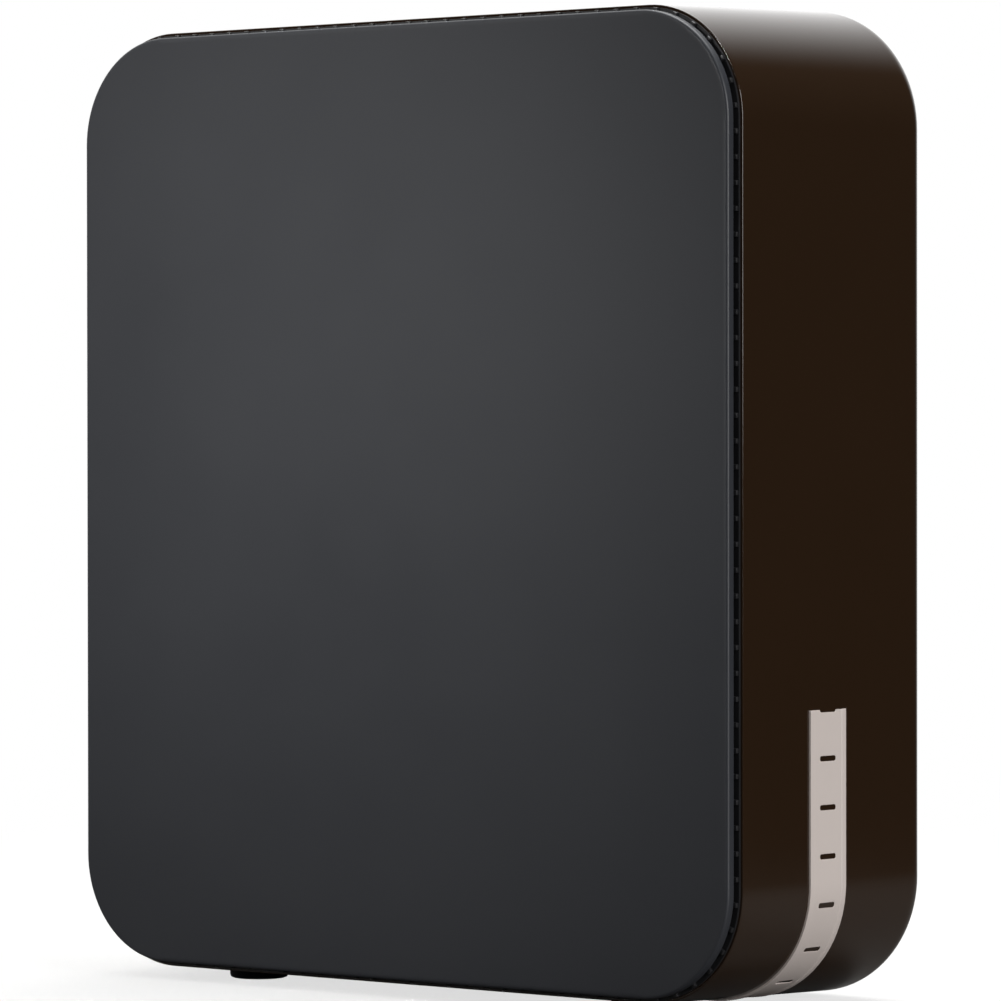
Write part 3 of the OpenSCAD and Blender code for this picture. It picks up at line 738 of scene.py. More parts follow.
# Each slot's finish. grain, relief and patch are real sizes in millimetres: the pitch of the
# fine relief, its height, and the size of the slow changes in tone. A grain that would be too
# fine to show is drawn at about a third of a millimetre.
FINISHES: dict[str, Finish] = {
    # Charcoal soft-touch paint over ABS: satin, with a fine even tooth.
    "cover_paint": Finish(
        "charcoal_soft_touch_paint", "2e3035", "303237", Pattern.ERODED, (0.40, 0.46), 0.35,
        0.0025, ior=1.48, patch=60.0
    ),
    # High-gloss ABS in espresso brown: wet-looking, with the faint ripple of a moulding.
    "housing_gloss": Finish(
        "espresso_gloss_abs", "27190c", "2a1b0e", Pattern.POLISHED, (0.10, 0.15), 7.0, 0.004,
        ior=1.54, coat=0.25, coat_roughness=0.06, patch=45.0
    ),
    # The rear cover is ABS off a spark-eroded tool: dull, with an even pitted grain.
    "rear_plastic": Finish(
        "eroded_brown_abs", "231b17", "2a211c", Pattern.ERODED, (0.48, 0.58), 0.45, 0.012,
        patch=22.0
    ),
    # Warm grey ABS band, lightly textured, so it stays flat and even in the light.
    "band_plastic": Finish(
        "warm_grey_abs", "d6cbc5", "d1c6c0", Pattern.ERODED, (0.42, 0.50), 0.40, 0.004,
        patch=9.0
    ),
    # Black nylon-filled plastic of the vent ring, jack and switch: satin, slightly mottled.
    "black_plastic": Finish(
        "black_moulded_nylon", "1c1c1e", "242426", Pattern.ERODED, (0.34, 0.44), 0.40, 0.006,
        patch=5.0
    ),
    # The rocker is polished so that it stands out of its frame.
    "rocker_plastic": Finish(
        "black_polished_abs", "141416", "1a1a1c", Pattern.POLISHED, (0.16, 0.22), 2.5, 0.002,
        patch=4.0
    ),
    # Rubber feet: dull, with a chalky bloom.
    "foot_rubber": Finish(
        "dark_elastomer", "202022", "2b2b2d", Pattern.CAST, (0.72, 0.86), 0.5, 0.03, ior=1.52,
        patch=3.0
    ),
    # Black oxide on steel screws: dark, with a slight oily sheen.
    "black_steel": Finish(
        "black_oxide_steel", "2b2c2e", "3a3b3d", Pattern.ROLLED, (0.32, 0.46), 0.4, 0.006,
        metallic=0.9, patch=1.5
    ),
    # Bright zinc on steel: bluish and a little uneven.
    "zinc_steel": Finish(
        "zinc_plated_steel", "a9adb1", "bcbfc0", Pattern.PLATED, (0.22, 0.36), 0.4, 0.004,
        metallic=1.0, patch=1.2
    ),
    # Hot-tinned steel sheet of the cans: soft metallic with flow marks.
    "tinned_steel": Finish(
        "tinned_sheet_steel", "b4b6b7", "c6c7c6", Pattern.ROLLED, (0.24, 0.38), 0.5, 0.004,
        metallic=1.0, patch=6.0, stretch=(1.0, 1.0, 9.0)
    ),
    # Nickel plate on turned brass: warm and bright, with fine lathe lines.
    "nickel_plate": Finish(
        "nickel_plated_brass", "c9c1b2", "d6cfc2", Pattern.PLATED, (0.12, 0.22), 0.3, 0.003,
        metallic=1.0, patch=1.6, stretch=(6.0, 1.0, 6.0)
    ),
    # Rolled brass sheet: yellow, with streaks along the rolling.
    "bare_brass": Finish(
        "rolled_brass", "c99c4f", "b88a42", Pattern.ROLLED, (0.26, 0.38), 0.4, 0.004,
        metallic=1.0, patch=7.0, stretch=(1.0, 1.0, 12.0)
    ),
    # Gold flash over nickel on contacts and sockets.
    "gold_contact": Finish(
        "gold_flash", "d9ab55", "e2b765", Pattern.PLATED, (0.18, 0.26), 0.3, 0.002,
        metallic=1.0, patch=1.2
    ),
    # Mill-finish aluminium sheet: grey, with rolling lines.
    "sheet_aluminium": Finish(
        "mill_aluminium", "b9bbbe", "c7c9ca", Pattern.ROLLED, (0.30, 0.42), 0.5, 0.005,
        metallic=1.0, patch=9.0, stretch=(14.0, 1.0, 1.0)
    ),
    # Black anodised extrusion: matt, with lines along the fins.
    "black_anodised": Finish(
        "black_anodised_aluminium", "1d1e20", "28292b", Pattern.ROLLED, (0.42, 0.54), 0.4,
        0.008, metallic=0.6, patch=6.0, stretch=(1.0, 1.0, 16.0)
    ),
    # Natural nylon: milky, waxy and slightly yellow.
    "nylon": Finish(
        "natural_nylon", "e8e4d8", "ddd8ca", Pattern.CAST, (0.38, 0.48), 0.6, 0.006, ior=1.53,
        patch=2.0
    ),
    # White PTFE insulator: soft white, never glossy.
    "white_ptfe": Finish(
        "white_ptfe", "efece4", "e6e2d8", Pattern.CAST, (0.44, 0.55), 0.4, 0.004, ior=1.35,
        patch=1.5
    ),
    # Green solder mask over copper tracks: glossy, lighter over the copper.
    "solder_mask": Finish(
        "green_solder_mask", "2f6a48", "1b4630", Pattern.BOARD, (0.22, 0.32), 4.5, 0.02,
        ior=1.52, coat=0.3, patch=18.0
    ),
    # Epoxy of the chip packages: dull grey-black, faintly speckled.
    "chip_resin": Finish(
        "black_epoxy_package", "1e1f21", "292a2c", Pattern.CAST, (0.50, 0.62), 0.3, 0.006,
        patch=1.0
    ),
    # Fired ceramic of the filters: cream, with a fine tooth.
    "filter_ceramic": Finish(
        "fired_filter_ceramic", "cfc6b0", "c2b89f", Pattern.CAST, (0.34, 0.46), 0.4, 0.006,
        ior=1.7, patch=1.6
    ),
    # Drawn aluminium cans of the capacitors.
    "can_sleeve": Finish(
        "drawn_aluminium_can", "8d9093", "a1a4a6", Pattern.ROLLED, (0.26, 0.38), 0.4, 0.004,
        metallic=1.0, patch=2.0, stretch=(1.0, 8.0, 1.0)
    ),
    # Sintered ferrite of the inductor: dark grey and stony.
    "ferrite": Finish(
        "sintered_ferrite", "37383a", "2b2c2e", Pattern.CAST, (0.48, 0.62), 0.35, 0.014,
        patch=1.4
    ),
    # Soft silicone gap pads: bluish and slightly tacky.
    "gap_pad": Finish(
        "silicone_gap_pad", "8fa3b3", "8296a7", Pattern.CAST, (0.58, 0.70), 0.5, 0.02,
        ior=1.42, patch=4.0
    ),
    # Blank foil label: satin metallic grey.
    "label_foil": Finish(
        "blank_satin_foil", "9fa1a3", "a8aaab", Pattern.ROLLED, (0.34, 0.42), 0.4, 0.003,
        metallic=0.1, patch=8.0, stretch=(10.0, 1.0, 1.0)
    ),
    # Cast resin of the lamp.
    "led_resin": Finish(
        "cast_green_resin", "bfe3c4", "d0edd3", Pattern.CLEAR, (0.12, 0.18), 1.0, 0.002,
        patch=1.0, transmission=0.4
    ),
    # Clear acrylic light pipe.
    "clear_acrylic": Finish(
        "clear_acrylic", "eaf1f2", "e2ebec", Pattern.CLEAR, (0.05, 0.10), 1.4, 0.001,
        ior=1.49, patch=2.0, transmission=0.9
    ),
    # Extruded jacket of the thin coaxial leads.
    "coax_jacket": Finish(
        "extruded_tan_jacket", "b5a88c", "a89b7f", Pattern.CAST, (0.34, 0.44), 0.4, 0.004,
        patch=1.8
    ),
    # Extruded PVC of the power leads.
    "lead_jacket": Finish(
        "extruded_red_pvc", "80261f", "742019", Pattern.CAST, (0.32, 0.42), 0.4, 0.004,
        patch=1.4
    ),
}


# ------------------------------------------------------------------ casing


@dataclass
class Casing:
    """Sizes that the casing's pieces share, in millimetres."""

    outline: Outline
    y_rim: float
    y_back: float
    y_front: float
    y_cover: float
    cover_inset: float
    ring_inset: float
    draft: float = 1.5
    back_round: float = 5.0
    bulkhead: float = 2.0
    slip: float = 0.15
    peg_r: float = 2.0
    peg_from_side: float = 14.0
    peg_from_end: float = 13.0
    side_peg_from_end: float = 34.0
    end_peg_x: float = 24.0

    @classmethod
    def from_frame(cls) -> "Casing":
        """Reads the casing's sizes off the frame.

        Returns:
            The casing.
        """
        low, high = box_mm("main_housing")
        cover_low, cover_high = box_mm("front_cover")
        ring_low, ring_high = box_mm("vent_ring")
        return cls(
            outline=Outline(half_x=high.x, z_low=low.z, z_high=high.z),
            y_rim=low.y,
            y_back=high.y,
            y_front=cover_low.y,
            y_cover=ring_low.y,
            cover_inset=high.x - cover_high.x,
            ring_inset=high.x - ring_high.x,
        )

    @property
    def y_edge(self) -> float:
        """Depth where the back edge starts to turn."""
        return self.y_back - self.back_round

    @property
    def y_bulk(self) -> float:
        """Depth of the bulkhead's rear face."""
        return self.y_rim + self.bulkhead

    def lean(self, y: float) -> float:
        """How far the wall is in from the outline at depth y."""
        return self.draft * (self.y_edge - y) / (self.y_edge - self.y_rim)

    def pegs(self) -> list[tuple[float, float]]:
        """Places of the front cover's staked pegs.

        Returns:
            Their X and Z.
        """
        edge = self.outline
        sides = [
            (sign * (edge.half_x - self.peg_from_side), z)
            for sign in (-1, 1)
            for z in (edge.z_low + self.side_peg_from_end, edge.z_high - self.side_peg_from_end)
        ]
        ends = [
            (sign * self.end_peg_x, z)
            for sign in (-1, 1)
            for z in (edge.z_low + self.peg_from_end, edge.z_high - self.peg_from_end)
        ]
        return sides + ends


@dataclass
class FrontCover:
    """Crowned satin panel that is staked to the bulkhead."""

    casing: Casing
    crown: float = 1.0
    edge_round: float = 0.6
    back_round: float = 0.15
    rim_width: float = 5.0
    skin: float = 1.2
    thickness: float = 1.9
    peg_head_r: float = 3.0
    peg_head: float = 1.0
    peg_taper: float = 0.2
    peg_dome: float = 0.6
    cells: int = 18
    rim_steps: int = 8

    def build(self) -> bpy.types.Object:
        """Models the panel and its pegs.

        Returns:
            The piece.
        """
        casing, edge = self.casing, self.casing.outline
        shape = Shape()
        y_top = casing.y_front + self.crown
        inset = casing.cover_inset
        recess = casing.y_cover - self.thickness + self.skin
        rings = [
            (inset + self.rim_width, recess),
            (inset + self.rim_width, casing.y_cover),
            (inset + self.back_round, casing.y_cover),
            (inset, casing.y_cover - self.back_round),
        ]
        rings += [
            (inset + self.edge_round * (1 - cos), y_top + self.edge_round * (1 - sin))
            for cos, sin in quarter(self.rim_steps)
        ]
        rings.append((inset + 2 * self.edge_round, y_top))
        loops = [shape.loop(edge, *ring) for ring in rings]
        shape.bridge(loops)
        shape.cap(loops[0])
        shape.cap(loops[-1])
        self._crown(shape, y_top)
        for x, z in casing.pegs():
            self._peg(shape, x, z, recess)
        return add_piece(shape.mesh("cover_panel"), "cover_panel", "cover_paint", ["front_cover"])

    def _crown(self, shape: Shape, y_top: float) -> None:
        """Divides the panel's face and lifts it to a smooth crown.

        Args:
            shape: The panel.
            y_top: Depth of its rim.
        """
        edge = self.casing.outline
        half_x = edge.half_x - self.casing.cover_inset
        half_z = edge.half_z - self.casing.cover_inset
        steps = [2 * i / self.cells - 1 for i in range(1, self.cells)]

        def on_face(point: Vector) -> bool:
            """Whether a point is on the panel's face."""
            return point.y < y_top + NEAR

        shape.cut("X", [half_x * step for step in steps], on_face)
        shape.cut("Z", [edge.z_mid + half_z * step for step in steps], on_face)
        for vert in shape.bm.verts:
            if vert.co.y < y_top + MEET:
                across = 1 - (vert.co.x / half_x) ** 2
                up = 1 - ((vert.co.z - edge.z_mid) / half_z) ** 2
                vert.co.y = y_top - self.crown * max(across, 0.0) * max(up, 0.0)

    def _peg(self, shape: Shape, x: float, z: float, y: float) -> None:
        """Adds one peg with its staked head.

        Args:
            shape: The panel.
            x: Its place across.
            z: Its height.
            y: Depth of its root.
        """
        head = self.casing.y_bulk
        profile = [
            (0.0, y),
            (self.casing.peg_r, y),
            (self.casing.peg_r, head),
            (self.peg_head_r, head),
            (self.peg_head_r - self.peg_taper, head + self.peg_head * self.peg_dome),
            (self.peg_head_r * self.peg_dome, head + self.peg_head),
            (0.0, head + self.peg_head),
        ]
        shape.turn(profile, Vector((x, 0.0, z)), steps=20)


@dataclass
class VentRing:
    """Ribbed ring that holds the gap between cover and housing open."""

    casing: Casing
    width: float = 4.0
    sheet: float = 0.5
    rib_pitch: float = 4.8
    rib_width: float = 1.0
    rib_round: float = 0.16
    rib_inset: float = 0.01

    def build(self) -> bpy.types.Object:
        """Models the ring's sheet and its ribs.

        Returns:
            The piece.
        """
        casing, edge = self.casing, self.casing.outline
        shape = Shape()
        inset = casing.ring_inset
        y_sheet = casing.y_rim - self.sheet
        loops = [
            shape.loop(edge, inset, y_sheet),
            shape.loop(edge, inset, casing.y_rim),
            shape.loop(edge, inset + self.width, casing.y_rim),
            shape.loop(edge, inset + self.width, y_sheet),
        ]
        shape.bridge(loops, closed=True)
        for x, z, turn in self._places():
            self._rib(shape, x, z, turn, y_sheet)
        return add_piece(shape.mesh("vent_ribs"), "vent_ribs", "black_plastic", ["vent_ring"])

    def _places(self) -> list[tuple[float, float, float]]:
        """Works out where the ribs stand, symmetrically in the four quarters.

        Returns:
            X, Z and the direction they point, in radians.
        """
        edge, inset = self.casing.outline, self.casing.ring_inset
        radius = edge.corner - inset
        flat_x = edge.half_x - edge.corner
        flat_z = edge.half_z - edge.corner
        found = []
        count = round(flat_x / self.rib_pitch)
        for i in range(count):
            found.append(((i + 0.5) * flat_x / count, flat_z + radius, math.radians(90)))
        count = round(flat_z / self.rib_pitch)
        for i in range(count):
            found.append((flat_x + radius, (i + 0.5) * flat_z / count, 0.0))
        count = round(radius * math.pi / 2 / self.rib_pitch)
        for i in range(count):
            angle = math.radians(90) * (i + 0.5) / count
            found.append(
                (flat_x + radius * math.cos(angle), flat_z + radius * math.sin(angle), angle)
            )
        return [
            (sx * x, edge.z_mid + sz * z, math.atan2(sz * math.sin(turn), sx * math.cos(turn)))
            for x, z, turn in found
            for sx in (-1, 1)
            for sz in (-1, 1)
        ]

    def _rib(self, shape: Shape, x: float, z: float, turn: float, y_sheet: float) -> None:
        """Adds one rib that reaches from the sheet to the cover.

        Args:
            shape: The ring.
            x: The rib's outer end, across.
            z: The rib's outer end, up.
            turn: The direction that it points, in radians.
            y_sheet: Depth of the sheet's front face.
        """
        depth = y_sheet - self.casing.y_cover
        spin = Matrix.Rotation(-turn, 4, "Y")
        middle = spin @ Vector((-self.width / 2, 0.0, 0.0))
        spot = Vector((x, self.casing.y_cover + depth / 2, z)) + middle
        size = Vector((self.width - 2 * self.rib_inset, depth, self.rib_width))
        shape.bar(size, Matrix.Translation(spot) @ spin, self.rib_round)


@dataclass
class BandPath:
    """The U that the base band follows, measured from the middle of the underside."""

    casing: Casing
    top: float
    depth: float

    @property
    def inset(self) -> float:
        """Inset of the wall at the band's middle."""
        return self.casing.lean(self.depth)

    @property
    def radius(self) -> float:
        """Radius of the wall round the lower corners."""
        return self.casing.outline.corner - self.inset

    @property
    def flat(self) -> float:
        """Length of the run under the casing, from its middle."""
        return self.casing.outline.half_x - self.casing.outline.corner

    @property
    def arc(self) -> float:
        """Length of the run round a corner."""
        return self.radius * math.pi / 2

    @property
    def half(self) -> float:
        """Length of half of the band."""
        side = self.top - self.casing.outline.z_low - self.casing.outline.corner
        return self.flat + self.arc + side

    def at(self, run: float, height: float) -> tuple[float, float]:
        """Finds a point of the band.

        Args:
            run: Distance along the band, positive to the right.
            height: Distance out of the wall.

        Returns:
            Its X and Z.
        """
        edge = self.casing.outline
        side, length = math.copysign(1.0, run), abs(run)
        z_turn = edge.z_low + edge.corner
        reach = self.radius + height
        if length <= self.flat:
            return side * length, z_turn - reach
        angle = (length - self.flat) / self.radius
        if angle <= math.radians(90):
            return side * (self.flat + reach * math.sin(angle)), z_turn - reach * math.cos(angle)
        return side * (self.flat + reach), z_turn + length - self.flat - self.arc


@dataclass
class BaseBand:
    """Light grey band with a row of slots, let into the lower sides and the underside."""

    casing: Casing
    proud: float = 0.3
    groove: float = 1.5
    slot_pitch: float = 9.4
    slot_length: float = 5.0
    slot_width: float = 1.0
    rim: float = 1.25
    rim_slope: float = 0.25
    rim_height: float = 0.16
    side_gap: float = 0.25
    edge_round: float = 0.14
    end_round: float = 0.45
    step: float = 1.3
    steep: float = math.radians(60)

    @property
    def depth(self) -> float:
        """Depth of the band's middle line."""
        low, high = box_mm("base_band")
        return (low.y + high.y) / 2

    @property
    def half_width(self) -> float:
        """Half of the width that the frame gives the band."""
        low, high = box_mm("base_band")
        return (high.y - low.y) / 2

    def path(self) -> BandPath:
        """The band's path, from its top end in the frame."""
        return BandPath(self.casing, box_mm("base_band")[1].z, self.depth)

    def slots(self) -> list[float]:
        """Places of the slots along the band.

        Returns:
            The distances from the middle, evenly spaced up to both ends.
        """
        half = self.path().half
        count = round(half / self.slot_pitch)
        return [half * i / count for i in range(-count, count + 1)]

    def build(self) -> bpy.types.Object:
        """Models the band flat, with its slots, and bends it along its path.

        Returns:
            The piece.
        """
        half_w = self.half_width - self.side_gap / 2
        path, slots = self.path(), self.slots()
        shape = Shape()
        corners = bmesh.ops.create_grid(shape.bm, x_segments=1, y_segments=1, size=0.5)["verts"]
        bmesh.ops.scale(shape.bm, vec=(2 * path.half, 2 * half_w, 1.0), verts=corners)
        inner = half_w - self.rim
        half_slot, half_gap = self.slot_length / 2, self.slot_width / 2
        rows = [half_slot, inner - self.rim_slope, inner]
        shape.cut("Y", sorted([-row for row in rows] + rows))
        lines = [s + side * half_gap for s in slots for side in (-1, 1)]
        for first, second in zip(slots, slots[1:]):
            count = max(round((second - first - self.slot_width) / self.step), 1)
            gap = (second - first - self.slot_width) / count
            lines += [first + half_gap + gap * i for i in range(1, count)]
        shape.cut("X", [line for line in lines if abs(line) < path.half - NEAR])
        holes = [
            f
            for f in shape.bm.faces
            if abs(f.calc_center_median().y) < half_slot
            and min(abs(f.calc_center_median().x - s) for s in slots) < half_gap
        ]
        bmesh.ops.delete(shape.bm, geom=holes, context="FACES")
        self._thicken(shape, inner)
        self._soften(shape, slots)
        for vert in shape.bm.verts:
            x, z = path.at(vert.co.x, vert.co.z)
            vert.co = (x, vert.co.y + self.depth, z)
        mesh = shape.mesh("band_strip")
        return add_piece(mesh, "band_strip", "band_plastic", ["base_band"])

    def _thicken(self, shape: Shape, inner: float) -> None:
        """Gives the flat band its thickness and lowers its field between the rims.

        Args:
            shape: The band.
            inner: Half of the field's width.
        """
        for vert in shape.bm.verts:
            sunk = abs(vert.co.y) < inner - self.rim_slope / 2
            vert.co.z = self.proud - (self.rim_height if sunk else 0.0)
        made = bmesh.ops.extrude_face_region(shape.bm, geom=list(shape.bm.faces))["geom"]
        for vert in made:
            if isinstance(vert, bmesh.types.BMVert):
                vert.co.z = -self.groove

    def _soften(self, shape: Shape, slots: Sequence[float]) -> None:
        """Rounds the slots' ends and the band's upper edges.

        Args:
            shape: The band.
            slots: Places of the slots.
        """
        shape.bm.normal_update()
        posts = []
        for edge in shape.bm.edges:
            first, second = edge.verts[0].co, edge.verts[1].co
            upright = (first - second).xy.length < MEET
            at_end = abs(abs(first.y) - self.slot_length / 2) < NEAR
            beside = min(abs(abs(first.x - s) - self.slot_width / 2) for s in slots) < NEAR
            if upright and at_end and beside and edge.calc_face_angle(0.0) > SHARP:
                posts.append(edge)
        shape.round_edges(posts, self.end_round, 4)
        shape.bm.normal_update()
        upper = [
            e
            for e in shape.bm.edges
            if e.is_manifold
            and min(v.co.z for v in e.verts) > 0.0
            and e.calc_face_angle(0.0) > self.steep
        ]
        shape.round_edges(upper, self.edge_round, 2)


@dataclass
class Housing:
    """Glossy shell with its bulkhead, groove, air ways, pillars and posts."""

    casing: Casing
    band: BaseBand
    # Walls, the front rim, the back edge and the ledge that the rear cover sits on.
    wall: float = 3.0
    rim_round: float = 0.18
    rim_flat: float = 0.72
    rim_steps: int = 4
    shoulder: float = 1.2
    back_steps: int = 12
    rear_inset: float = 8.0
    rear_sheet: float = 2.4
    lip_round: float = 0.25
    ledge_width: float = 3.0
    ledge: float = 2.4
    # Edges this far from a bend keep the flat walls flat in the light.
    margin: float = 1.0
    back_margin: float = 0.8
    # Faces this far behind the slanted wall still belong to it.
    skin: float = 0.4
    # Hairlines over the band.
    line_above: float = 1.9
    line_gap: float = 2.4
    line_width: float = 0.34
    line_depth: float = 0.3
    line_from_rim: float = 3.5
    # Screw pillars and board posts.
    pillar_r: float = 4.0
    pillar_hole_r: float = 1.5
    pillar_depth: float = 14.0
    pillar_end: float = 12.0
    post_r: float = 3.5
    post_depth: float = 8.0
    boss_foot: float = 0.6
    boss_edge: float = 0.3
    screw_head_r: float = 2.8
    standoff_flat: float = 2.5
    # Air ways through the bulkhead and the floor, and how far their cutters reach past.
    air_bridge: float = 10.0
    air_width: float = 5.0
    air_end_x: float = 30.0
    air_end_z: float = 42.0
    air_from_side: float = 22.0
    air_from_end: float = 21.0
    slot_cut: float = 7.5
    past: float = 1.0

    def rings(self) -> list[tuple[float, float]]:
        """Inset and depth of each ring, from the front rim round to the inside.

        Returns:
            The rings.
        """
        casing = self.casing
        lean, rim, back = casing.lean, casing.y_rim, casing.y_back
        front = [(casing.draft + self.rim_flat, rim)]
        front += [
            (casing.draft + self.rim_round * (1 - sin), rim + self.rim_round * (1 - cos))
            for cos, sin in quarter(self.rim_steps)
        ]
        side = [(lean(y), y) for y in (rim + self.shoulder, 0.0, casing.y_edge - self.margin)]
        rear = [
            (casing.back_round * (1 - cos), casing.y_edge + casing.back_round * sin)
            for cos, sin in quarter(self.back_steps)
        ]
        opening = self.rear_inset + self.ledge_width
        y_seat = back - self.rear_sheet
        y_ledge = y_seat - self.ledge
        inside = [
            (casing.back_round + self.back_margin, back),
            (self.rear_inset - self.lip_round * 2, back),
            (self.rear_inset - self.lip_round, back),
            (self.rear_inset - self.lip_round * CORNER, back - self.lip_round * CORNER),
            (self.rear_inset, back - self.lip_round),
            (self.rear_inset, y_seat),
            (opening, y_seat),
            (opening, y_ledge),
            (self.wall, y_ledge),
            (self.wall + casing.draft, casing.y_bulk),
        ]
        return front + side + rear + inside

    def build(self) -> bpy.types.Object:
        """Models the housing.

        Returns:
            The piece.
        """
        shape = Shape()
        loops = [shape.loop(self.casing.outline, *ring) for ring in self.rings()]
        shape.bridge(loops)
        shape.cap(loops[0])
        shape.cap(loops[-1])
        self._steady(shape)
        self._groove(shape)
        self._lines(shape)
        piece = add_piece(
            shape.mesh("housing_shell"), "housing_shell", "housing_gloss", ["main_housing"]
        )
        carve(piece, self._cutters())
        self._bosses(piece)
        return piece

    def _steady(self, shape: Shape) -> None:
        """Adds edges beside the corners, so that the flat walls shade flat."""
        edge = self.casing.outline
        flat_x = edge.half_x - edge.corner - self.margin
        flat_z = edge.half_z - edge.corner - self.margin
        shape.cut("X", [-flat_x, flat_x])
        shape.cut("Z", [edge.z_mid - flat_z, edge.z_mid + flat_z])

    def _outer(self, point: Vector) -> bool:
        """Whether a point is on the outer wall."""
        return self.casing.outline.inset_at(point) < self.casing.draft + self.skin

    def _groove(self, shape: Shape) -> None:
        """Sinks the groove that holds the base band."""
        slip, depth = self.casing.slip, self.band.depth
        half_w = self.band.half_width + self.band.side_gap
        top = box_mm("base_band")[1].z + slip
        floor = self.casing.lean(depth) + self.band.groove
        shape.cut("Y", [depth - half_w, depth + half_w], self._outer)
        shape.cut("Z", [top], self._outer)
        faces = [
            f
            for f in shape.bm.faces
            if self._outer(f.calc_center_median())
            and abs(f.calc_center_median().y - depth) < half_w
            and f.calc_center_median().z < top
        ]
        outline = self.casing.outline
        shape.push_in(
            faces, lambda p: p + outline.outward(p) * (outline.inset_at(p) - floor)
        )

    def _lines(self, shape: Shape) -> None:
        """Sinks the two hairlines over the band's ends, each deepest at its top."""
        low = box_mm("base_band")[1].z + self.line_above
        outline = self.casing.outline
        y_start = self.casing.y_rim + self.line_from_rim
        y_end = self.casing.y_edge - self.margin
        for z in (low, low + self.line_gap):
            shape.cut("Z", [z, z + self.line_width], self._outer)
        shape.cut("Y", [y_start], self._outer)
        for z in (low, low + self.line_gap):
            faces = [
                f
                for f in shape.bm.faces
                if self._outer(f.calc_center_median())
                and y_start < f.calc_center_median().y < y_end
                and z < f.calc_center_median().z < z + self.line_width
            ]
            shape.push_in(
                faces,
                lambda p: p
                - outline.outward(p) * self.line_depth * max((p.z - z) / self.line_width, 0.1),
            )

    def _cutters(self) -> bpy.types.Mesh:
        """Models what is cut out of the housing.

        Returns:
            The cutters: slots under the band, air ways and peg holes.
        """
        casing, outline = self.casing, self.casing.outline
        shape = Shape()
        path = self.band.path()
        gap = self.band.slot_width + 2 * casing.slip
        length = self.band.slot_length + 2 * casing.slip
        for run in self.band.slots():
            if abs(run) < path.flat - gap:
                spot = Matrix.Translation(Vector((run, self.band.depth, outline.z_low + self.wall)))
                shape.bar(Vector((gap, length, self.slot_cut)), spot)
        depth = casing.bulkhead + 2 * self.past
        y_mid = casing.y_rim + casing.bulkhead / 2
        run_x = 2 * (outline.half_x - self.air_end_x - self.air_bridge) / 3
        run_z = 2 * (outline.half_z - self.air_end_z - self.air_bridge) / 3
        in_x = outline.half_x - self.air_from_side
        in_z = outline.half_z - self.air_from_end
        for i in (-1, 0, 1):
            for side in (-1, 1):
                shift_x, shift_z = i * (run_x + self.air_bridge), i * (run_z + self.air_bridge)
                across = Vector((shift_x, y_mid, outline.z_mid + side * in_z))
                up = Vector((side * in_x, y_mid, outline.z_mid + shift_z))
                shape.bar(Vector((run_x, depth, self.air_width)), Matrix.Translation(across))
                shape.bar(Vector((self.air_width, depth, run_z)), Matrix.Translation(up))
        for x, z in casing.pegs():
            radius = casing.peg_r + casing.slip
            start, end = casing.y_rim - self.past, casing.y_bulk + self.past
            hole = [(0.0, start), (radius, start), (radius, end), (0.0, end)]
            shape.turn(hole, Vector((x, 0.0, z)), steps=24)
        return shape.mesh("cutters")

    def _bosses(self, piece: bpy.types.Object) -> None:
        """Adds the screw pillars and the board posts to the housing.

        Args:
            piece: The housing.
        """
        outline, y_root = self.casing.outline, self.casing.y_bulk
        y_pillar = self.casing.y_back - self.pillar_end
        y_post = box_mm("reflector_plate")[0].y
        screws_low, screws_high = box_mm("cover_screws")
        posts_low, posts_high = box_mm("board_standoffs")
        shape = Shape()
        head, flat = self.screw_head_r, self.standoff_flat
        corner = flat / math.cos(math.radians(30))
        for low, high, trim, trim_z, radius, y_end, depth in (
            (screws_low, screws_high, head, head, self.pillar_r, y_pillar, self.pillar_depth),
            (posts_low, posts_high, corner, flat, self.post_r, y_post, self.post_depth),
        ):
            profile = [
                (0.0, y_root),
                (radius + self.boss_foot, y_root),
                (radius, y_root + self.boss_foot),
                (radius, y_end - self.boss_edge),
                (radius - self.boss_edge, y_end),
                (self.pillar_hole_r, y_end),
                (self.pillar_hole_r, y_end - depth),
                (0.0, y_end - depth),
            ]
            for x in (low.x + trim, high.x - trim):
                for z in (low.z + trim_z, high.z - trim_z):
                    shape.turn(profile, Vector((x, 0.0, z)), steps=28)
        bosses = shape.mesh("bosses")
        bm = bmesh.new()
        bm.from_mesh(piece.data)
        bm.from_mesh(bosses)
        bm.to_mesh(piece.data)
        bm.free()
        bpy.data.meshes.remove(bosses)
        log.info("housing_shell: pillars and posts added, outline %.0f mm wide", 2 * outline.half_x)


@dataclass
class Feet:
    """Four round rubber feet, each let into the underside."""

    radius: float = 6.0
    grip: float = 0.35
    slope: float = 0.3
    dimple_r: float = 1.2
    groove_in: float = 2.6
    groove_out: float = 3.3
    edge_round: float = 0.7

    def build(self) -> bpy.types.Object:
        """Models the feet where the frame has them.

        Returns:
            The piece.
        """
        low, high = box_mm("foot_pads")
        radius, rounding = self.radius, self.edge_round
        profile = [
            (0.0, self.grip),
            (self.dimple_r, self.grip),
            (self.dimple_r + self.slope, 0.0),
            (self.groove_in - self.slope, 0.0),
            (self.groove_in, self.grip),
            (self.groove_out, self.grip),
            (self.groove_out + self.slope, 0.0),
            (radius - rounding, 0.0),
            (radius - rounding * CORNER, rounding * CORNER),
            (radius, rounding),
            (radius, high.z),
            (0.0, high.z),
        ]
        shape = Shape()
        for x in (low.x + radius, high.x - radius):
            for y in (low.y + radius, high.y - radius):
                shape.turn(profile, Vector((x, y, 0.0)), axis="Z", steps=48)
        return add_piece(shape.mesh("feet"), "feet", "foot_rubber", ["foot_pads"])


# ------------------------------------------------------------------ back of the casing


